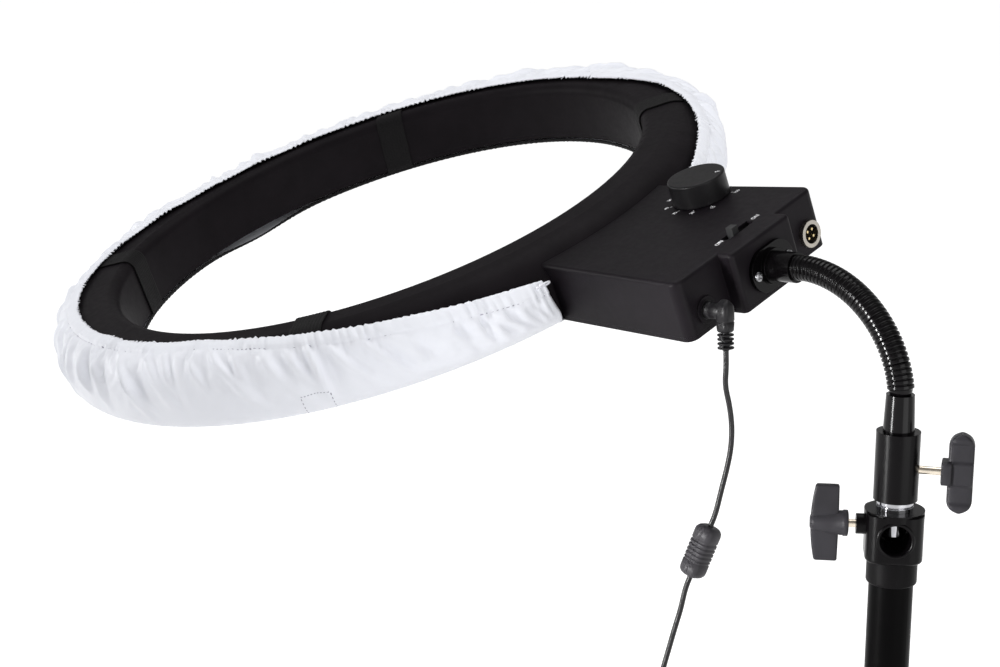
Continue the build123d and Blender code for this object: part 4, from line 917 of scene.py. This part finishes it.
def dial_ticks():
    """A short line at each step of the dial."""
    points, faces = [], []
    for k in range(DIAL_STEPS):
        out = Vector((cos(dial_angle(k)), sin(dial_angle(k))))
        side = Vector((-out.y, out.x))
        start = len(points)
        faces += flipped(grid_faces(4, 4, start=start))
        faces += [tuple(start + i for i in end) for end in ((0, 1, 2, 3), (15, 14, 13, 12))]
        for reach, wide in ((18.6, 0.1), (18.75, 0.2), (20.05, 0.2), (20.2, 0.1)):
            for sign, high in ((-1, 0.0), (-1, 0.04), (1, 0.04), (1, 0.0)):
                place = Vector(DIAL) + out * reach + side * wide * sign
                points.append(in_head(*place, PANEL_Z + high)[0])
    piece("dial_ticks", points, faces, "box_black", material="print")


for k in range(DIAL_STEPS):
    x, y = DIAL[0] + NUMBER_R * cos(dial_angle(k)), DIAL[1] + NUMBER_R * sin(dial_angle(k))
    if y < PANEL_EDGE_Y:
        printed(f"dial_{100 - 10 * k}", str(100 - 10 * k), x, y, NUMBER_SIZE)
printed("switch_on", "ON", 335.3, 20.7, SWITCH_WORD_SIZE)
printed("switch_off", "OFF", 335.7, -12.9, SWITCH_WORD_SIZE)
dial_ticks()


# Lofted details
def stack(origin, way, one, two, power, profile):
    """Sections along one direction, from rows of place and one or two half sizes."""
    return [(origin + way * row[0], one * row[1], two * row[-1], power) for row in profile]


def lofted(name, groups, slot, body="head", sides=40, material=None):
    """Closed solids through sections of centre, two half-size vectors and squareness."""
    points, faces = [], []
    for sections in groups:
        faces += tube_faces(len(sections), sides, len(points))
        for centre, one, two, power in sections:
            for c, s in circle(sides):
                size = (abs(c) ** power + abs(s) ** power) ** (-1.0 / power)
                points.append(centre + (one * c + two * s) * size)
    obj = piece(name, points, faces, slot, body, material=material)
    shape = bmesh.new()
    shape.from_mesh(obj.data)
    bmesh.ops.recalc_face_normals(shape, faces=shape.faces)
    shape.to_mesh(obj.data)
    shape.free()
    return obj


# Angled power plug, with its body and its barrel
PLUG_BODY = (
    (-6.9, 1.6, 0.3), (-6.5, 2.6, 0.8), (-4.6, 3.9, 2.9), (-2.9, 4.4, 4.2), (0.0, 4.5, 4.5),
    (5.0, 4.45, 4.45), (5.2, 4.2, 4.2), (5.9, 4.2, 4.2), (6.1, 4.45, 4.4), (10.7, 4.1, 4.0), (11.5, 3.4, 3.3)
)
PLUG_BARREL = (
    (-12.6, 4.4), (-12.3, 4.9), (-9.8, 4.9), (-9.5, 4.5), (-8.9, 4.5), (-8.6, 4.8), (-1.5, 4.5), (0.0, 3.0)
)
plug_shell = lofted("plug_shell", [
    stack(PLUG_MIDDLE, DOWN, HEAD_X, SIDE, 3.6, PLUG_BODY),
    stack(PLUG_MIDDLE, HEAD_X, SIDE, DOWN, 2.0, PLUG_BARREL)
], "cord_rubber", material="plug_rubber")
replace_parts(plug_shell, "dc_plug_body")


def relief():
    """Open strain relief: a core with four ribs, and webs on alternate sides."""
    profile = [(0.0, 3.0), (0.3, 2.2)]
    webs = []
    for k in range(4):
        at = 1.0 + 2.45 * k
        profile += [(at, 2.2), (at + 0.05, 4.3), (at + 0.25, 4.7)]
        profile += [(at + 0.95, 4.7), (at + 1.15, 4.3), (at + 1.2, 2.2)]
        if k < 3:
            centre = RELIEF_TOP + SIDE * (3.5 if k % 2 else -3.5)
            web = [(at + run, 1.5, 0.8) for run in (0.6, 1.2, 2.45, 3.0)]
            webs.append(stack(centre, DOWN, HEAD_X, SIDE, 4.0, web))
    profile.append((10.45, 1.9))
    core = stack(RELIEF_TOP, DOWN, HEAD_X, SIDE, 2.0, profile)
    return lofted("relief_cage", [core] + webs, "cord_rubber", material="plug_rubber")


relief_cage = relief()
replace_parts(relief_cage, "plug_relief")

# White mark in the knob's groove
mark_cos, mark_sin = cos(dial_angle(0)), sin(dial_angle(0))
mark_out = HEAD_X * mark_cos + HEAD_Y * mark_sin
mark_side = HEAD_Y * mark_cos - HEAD_X * mark_sin
mark_at = head_point(*DIAL, 0.0) + mark_out * 14.0
MARK = ((52.66, 1.75, 0.6), (52.86, 1.8, 0.65), (52.94, 1.7, 0.55))
mark = stack(mark_at, HEAD_Z, mark_out, mark_side, 5.0, MARK)
lofted("pointer_mark", [mark], "knob_black", "dimmer", material="print")


# Pan heads of the flange's two screws, with a cross recess
SCREW_R = 2.8
SCREW_HIGH = 1.8
RECESS_ARM = 1.6
RECESS_HALF = 0.42


def screw_heads():
    rings = (0.12, 0.3, 0.42, 0.48, 0.6, 0.9, 1.2, 1.5, 1.62, 1.7, 2.0, 0.93 * SCREW_R, SCREW_R, SCREW_R)
    sides = 72
    aside = HEAD_X.cross(HEAD_Y)
    points, faces = [], []
    for centre, twist in ((head_point(357.5, -12.0, 17.6), 0.5), (head_point(357.5, 16.0, 17.6), 1.6)):
        start = len(points)
        for i, ring in enumerate(rings):
            for k in range(sides):
                turn = tau * k / sides
                u, v = abs(ring * cos(turn - twist)), abs(ring * sin(turn - twist))
                up = SCREW_HIGH * (1.0 - 0.45 * (ring / SCREW_R) ** 2)
                if min(u, v) < RECESS_HALF and max(u, v) < RECESS_ARM:
                    up -= 0.9 * SCREW_HIGH * (1.0 - 0.5 * ring / RECESS_ARM)
                if i == len(rings) - 1:
                    up = 0.0
                out = HEAD_Y * cos(turn) + aside * sin(turn)
                points.append(centre + HEAD_X * up + out * ring)
        faces += flipped(grid_faces(len(rings), sides, closed=True, start=start))
        faces.append(tuple(range(start, start + sides)))
    return piece("flange_screw_heads", points, faces, "zinc_screw")


flange_screw_heads = screw_heads()
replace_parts(flange_screw_heads, "flange_screws")


# Clamps on the stand's axis
KNOB_SIDES = 56


def around(degrees):
    return Vector((cos(radians(degrees)), sin(radians(degrees)), 0.0))


def turned(name, origin, way, profile, slot, body):
    """A round solid along one direction, from pairs of place and radius."""
    one = way.orthogonal().normalized()
    return lofted(name, [stack(origin, way, one, way.cross(one), 2.0, profile)], slot, body, KNOB_SIDES)


# T-shaped clamp knob of the socket, with scooped faces
T_AXIS = UP * 314.2
T_WAY = around(33.0)
T_REACH = 6.8
T_END = 15.2
T_DEEP = 5.1
T_HUB = ((23.5, 5.2), (23.8, 6.3), (24.2, 6.5), (28.6, 6.5), (29.0, 6.2))


def t_bar():
    """Sections of the bar."""
    side = UP.cross(T_WAY)
    middle = T_AXIS + T_WAY * 33.8
    heights = [k / 2 for k in range(-43, 44)] + [s * v for s in (-1, 1) for v in (21.75, 21.9, 21.98)]
    sections = []
    for z in sorted(heights):
        beyond = max(abs(z) - T_END, 0.0)
        reach = sqrt(max(T_REACH ** 2 - beyond ** 2, 0.0))
        scoop = float(smooth(abs(z), 5.2, 7.6) * (1 - smooth(abs(z), 15.5, 18.5)))
        deep = T_DEEP - 1.7 * scoop - 1.3 * float(smooth(abs(z), 19.0, 22.0))
        sections.append((middle + UP * z, T_WAY * reach, side * deep, 4.5))
    return sections


t_hub = stack(T_AXIS, T_WAY, UP, UP.cross(T_WAY), 8.0, T_HUB)
t_knob = lofted("t_knob", [t_bar(), t_hub], "grip_plastic", "socket_clamp_knob", KNOB_SIDES)
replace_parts(t_knob, "socket_knob")

# Winged clamp knob of the stand's head
WING_AXIS = UP * 281.5
WING_WAY = around(221.0)
WING_HALF = 22
WING_HUB = (
    (24.6, 5.6), (24.9, 7.0), (25.3, 7.3), (27.4, 7.3), (27.7, 6.9), (29.4, 6.9), (29.8, 6.6), (36.0, 5.9),
    (43.0, 5.0), (45.0, 4.2), (45.6, 3.0)
)


def wing_bar():
    """Sections of both wings."""
    side = UP.cross(WING_WAY)
    sections = []
    for k in range(-WING_HALF, WING_HALF + 1):
        share = abs(k) / WING_HALF
        near, far = 29.8 + 0.3 * share, 45.2 - 2.4 * share ** 2
        thin, lift = 3.0 - 0.9 * share, 0.0
        if abs(k) == WING_HALF:
            near, far, thin, lift = near + 0.5, far - 0.5, thin - 0.5, copysign(0.2, -k)
        centre = WING_AXIS + WING_WAY * (near + far) / 2 + UP * (k + lift)
        sections.append((centre, WING_WAY * (far - near) / 2, side * thin, 7.0))
    return sections


wing_knob = lofted("wing_knob", [wing_bar()], "grip_plastic", "stand_clamp_knob", KNOB_SIDES)
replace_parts(wing_knob, "stand_knob")
wing_hub = turned("wing_hub", WING_AXIS, WING_WAY, WING_HUB, "grip_plastic", "stand_clamp_knob")
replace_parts(wing_hub, "stand_knob")

# Rims of the stand head's cross bore, and the stop inside it
BORE_AT = UP * 277.5
BORE_WAY = around(-49.0)
BORE_RIM = ((15.2, 10.5), (15.7, 10.4), (16.3, 9.9), (16.4, 9.3), (16.1, 8.7), (15.4, 8.3), (14.6, 8.15))
BORE_STOP = ((8.2, 3.0), (8.0, 6.0), (8.0, 7.6), (8.3, 8.0), (11.0, 8.0), (11.3, 7.6), (11.0, 3.0))


def bore_rims():
    sides = 72
    points, faces = [], []
    for sign in (1, -1):
        faces += flipped(grid_faces(len(BORE_RIM), sides, closed=True, start=len(points)))
        for reach, radius in BORE_RIM:
            centre = BORE_AT + BORE_WAY * sign * reach
            points += [centre + (BORE_WAY.cross(UP) * c * sign + UP * s) * radius for c, s in circle(sides)]
    piece("bore_rims", points, faces, "clamp_black", "stand")


bore_rims()
turned("bore_stop", BORE_AT, -BORE_WAY, BORE_STOP, "clamp_black", "stand")

# Loop of the hem's elastic at each end of the hem, as places along the hem and outwards
LOOP_ROUTE = (
    (1.5, -1.0), (0.2, 0.8), (-2.2, 2.2), (-5.4, 2.6), (-7.6, 1.2), (-7.9, -1.4), (-5.8, -2.8), (-3.0, -1.8),
    (-0.6, -0.4), (1.6, -0.8)
)
LOOP_R = 0.55
LOOP_ALONG = 8.0
LOOP_ACROSS = 4.0


def elastic_loop(number, sign):
    angle = END_ANGLE + LOOP_ALONG / NOMINAL_R
    angle = angle if sign > 0 else tau - angle
    run = float(section_length(angle)) - LOOP_ACROSS
    base = Vector(cover_point(angle, run)[0])
    along = (Vector(cover_point(angle + sign * 0.02, run)[0]) - base).normalized()
    out = (base - HEAD_ORIGIN).normalized()
    route = [
        base + along * run + HEAD_Z * (rise * 0.45 + 0.7) + out * rise * 0.5 for run, rise in LOOP_ROUTE
    ]
    loop = round_cord(f"elastic_loop_{number}", route, LOOP_R, 12, 3)
    loop.data.materials.append(MATERIALS["loop_white"].material)
    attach(loop, "head")


elastic_loop(1, -1)
elastic_loop(2, 1)


# Clip-on ferrite bead on the lead
BEAD_END_PROFILE = (
    (0.0, 2.2), (0.0, 4.6), (0.6, 5.8), (2.2, 7.0), (4.0, 7.3), (8.5, 7.3), (8.9, 6.8), (9.6, 6.8),
    (10.0, 7.35)
)
BEAD_SIDES = 64


def bead():
    one = BEAD_WAY.cross(SIDE).normalized()
    two = BEAD_WAY.cross(one)
    profile = list(BEAD_END_PROFILE)
    for k in range(4):
        at = 10.6 + k * 2.6
        profile += [(at, 7.35), (at + 0.9, 7.35), (at + 1.2, 6.7), (at + 1.9, 6.7), (at + 2.2, 7.35)]
    profile += [(BEAD_LONG - run, radius) for run, radius in reversed(BEAD_END_PROFILE)]
    points = []
    for run, radius in profile:
        for k, (c, s) in enumerate(circle(BEAD_SIDES)):
            square = 1.0 / (abs(c) ** 5 + abs(s) ** 5) ** 0.2
            swell = 1.0 + 0.09 * (square - 1.0) / 0.15
            if radius > 3 and k in (BEAD_SIDES // 4, 3 * BEAD_SIDES // 4):
                swell *= 0.93
            points.append(BEAD_TOP + BEAD_WAY * run + (one * c + two * s) * radius * swell * 0.95)
    obj = piece("clip_bead", points, flipped(tube_faces(len(profile), BEAD_SIDES)), "bead_plastic")
    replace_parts(obj, "ferrite_bead")
    return obj


clip_bead = bead()


# Tie round the coil, a rounded band through its hole
TIE_WIDE = 6.0
TIE_CORNER = 3.0


def tie():
    low, high, near, far = 10.35 + TIE_CORNER, 24.6 - TIE_CORNER, -1.85 + TIE_CORNER, 14.15 - TIE_CORNER
    ring = []
    for cy, cz, begin in ((far, high, 0), (near, high, 90), (near, low, 180), (far, low, 270)):
        for k in range(9):
            turn = radians(begin + 90 * k / 8)
            ring.append((cy + TIE_CORNER * cos(turn), cz + TIE_CORNER * sin(turn)))
    points, uvs = [], []
    for i in range(9):
        x = TIE_WIDE * (i / 8 - 0.5)
        for j, (y, z) in enumerate(ring):
            dent = 0.12 * sin(9 * j / 7.0 + i)
            points.append(COIL_CENTRE + Vector((x, y, z + dent)))
            uvs.append((x * MM, j * 0.0016))
    obj = piece("coil_band", points, grid_faces(9, len(ring), closed=True), "strap_black", uvs=uvs)
    thicken(obj, 0.8, 0.0)
    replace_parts(obj, "coil_tie")
    return obj


coil_band = tie()


# Floor, world and lamps
WORLD_DIFFUSE = 0.60
FLOOR_GLOW = 0.52


def studio_world():
    """White to the camera, dimmer on the object, and darker overhead in reflections."""
    world = bpy.data.worlds.new("studio")
    bpy.context.scene.world = world
    world.use_nodes = True
    nodes = Nodes(world.node_tree)
    direction = nodes.add("ShaderNodeTexCoord").outputs["Generated"]
    height = nodes.add("ShaderNodeSeparateXYZ", Vector=direction).outputs["Z"]
    ceiling = nodes.add(
        "ShaderNodeMapRange", Value=height, From_Min=0.03, From_Max=0.40, To_Min=1.0, To_Max=0.25
    ).outputs["Result"]
    rays = nodes.add("ShaderNodeLightPath").outputs
    strength = WORLD_DIFFUSE
    for ray, value in (("Is Glossy Ray", ceiling), ("Is Transmission Ray", 1.0), ("Is Camera Ray", 1.0)):
        choice = nodes.add("ShaderNodeMix")
        for socket, given in ((0, rays[ray]), (2, strength), (3, value)):
            nodes.put(choice.inputs[socket], given)
        strength = choice.outputs[0]
    background = world.node_tree.nodes["Background"]
    nodes.put(background.inputs["Strength"], strength)
    nodes.put(background.inputs["Color"], (1.0, 1.0, 1.0, 1.0))


def studio_floor():
    """Glows to the camera and in reflections, not on the object."""
    finish = Finish(
        "studio_floor", (0.82, 0.82, 0.82), 0.9, Specular_IOR_Level=0.0, Emission_Color=(1.0, 1.0, 1.0, 1.0)
    )
    rays = finish.add("ShaderNodeLightPath").outputs
    seen = rays["Is Camera Ray"]
    for ray in ("Is Glossy Ray", "Is Transmission Ray"):
        both = finish.add("ShaderNodeMath", {"operation": "MAXIMUM"})
        finish.put(both.inputs[0], seen)
        finish.put(both.inputs[1], rays[ray])
        seen = both.outputs[0]
    level = finish.add("ShaderNodeMapRange", Value=seen, To_Min=0.0, To_Max=FLOOR_GLOW)
    finish.feed("Emission Strength", level.outputs["Result"])
    mesh = bpy.data.meshes.new("studio_floor")
    mesh.from_pydata([(-25, -25, 0), (25, -25, 0), (25, 25, 0), (-25, 25, 0)], [], [(0, 1, 2, 3)])
    mesh.materials.append(finish.material)
    placed("studio_floor", mesh)


def lamp(name, place, target, size, power, spread=180.0):
    """A soft box that faces its target."""
    light = bpy.data.lights.new(name, "AREA")
    light.shape = "RECTANGLE"
    light.size, light.size_y = size
    light.energy = power
    light.spread = radians(spread)
    obj = placed(name, light)
    way = Vector(target) - Vector(place)
    obj.matrix_world = Matrix.Translation(Vector(place)) @ way.to_track_quat("-Z", "Y").to_matrix().to_4x4()
    obj.visible_camera = False


studio_world()
studio_floor()
lamp("overhead_box", (-0.6, 0.2, 2.2), (-0.35, 0.0, 0.3), (1.3, 1.3), 13.0)
lamp("left_key", (-2.15, -1.3, 0.75), (-0.5, 0.0, 0.35), (0.6, 0.6), 11.0)
lamp("left_strip", (-0.30, -0.92, 0.46), (0.05, 0.0, 0.46), (0.10, 0.9), 2.0, 36.0)
lamp("right_box", (0.95, -0.10, 0.46), (0.0, 0.0, 0.46), (0.7, 0.9), 4.2)
bpy.context.scene.view_settings.view_transform = "Standard"


bpy.context.view_layer.update()
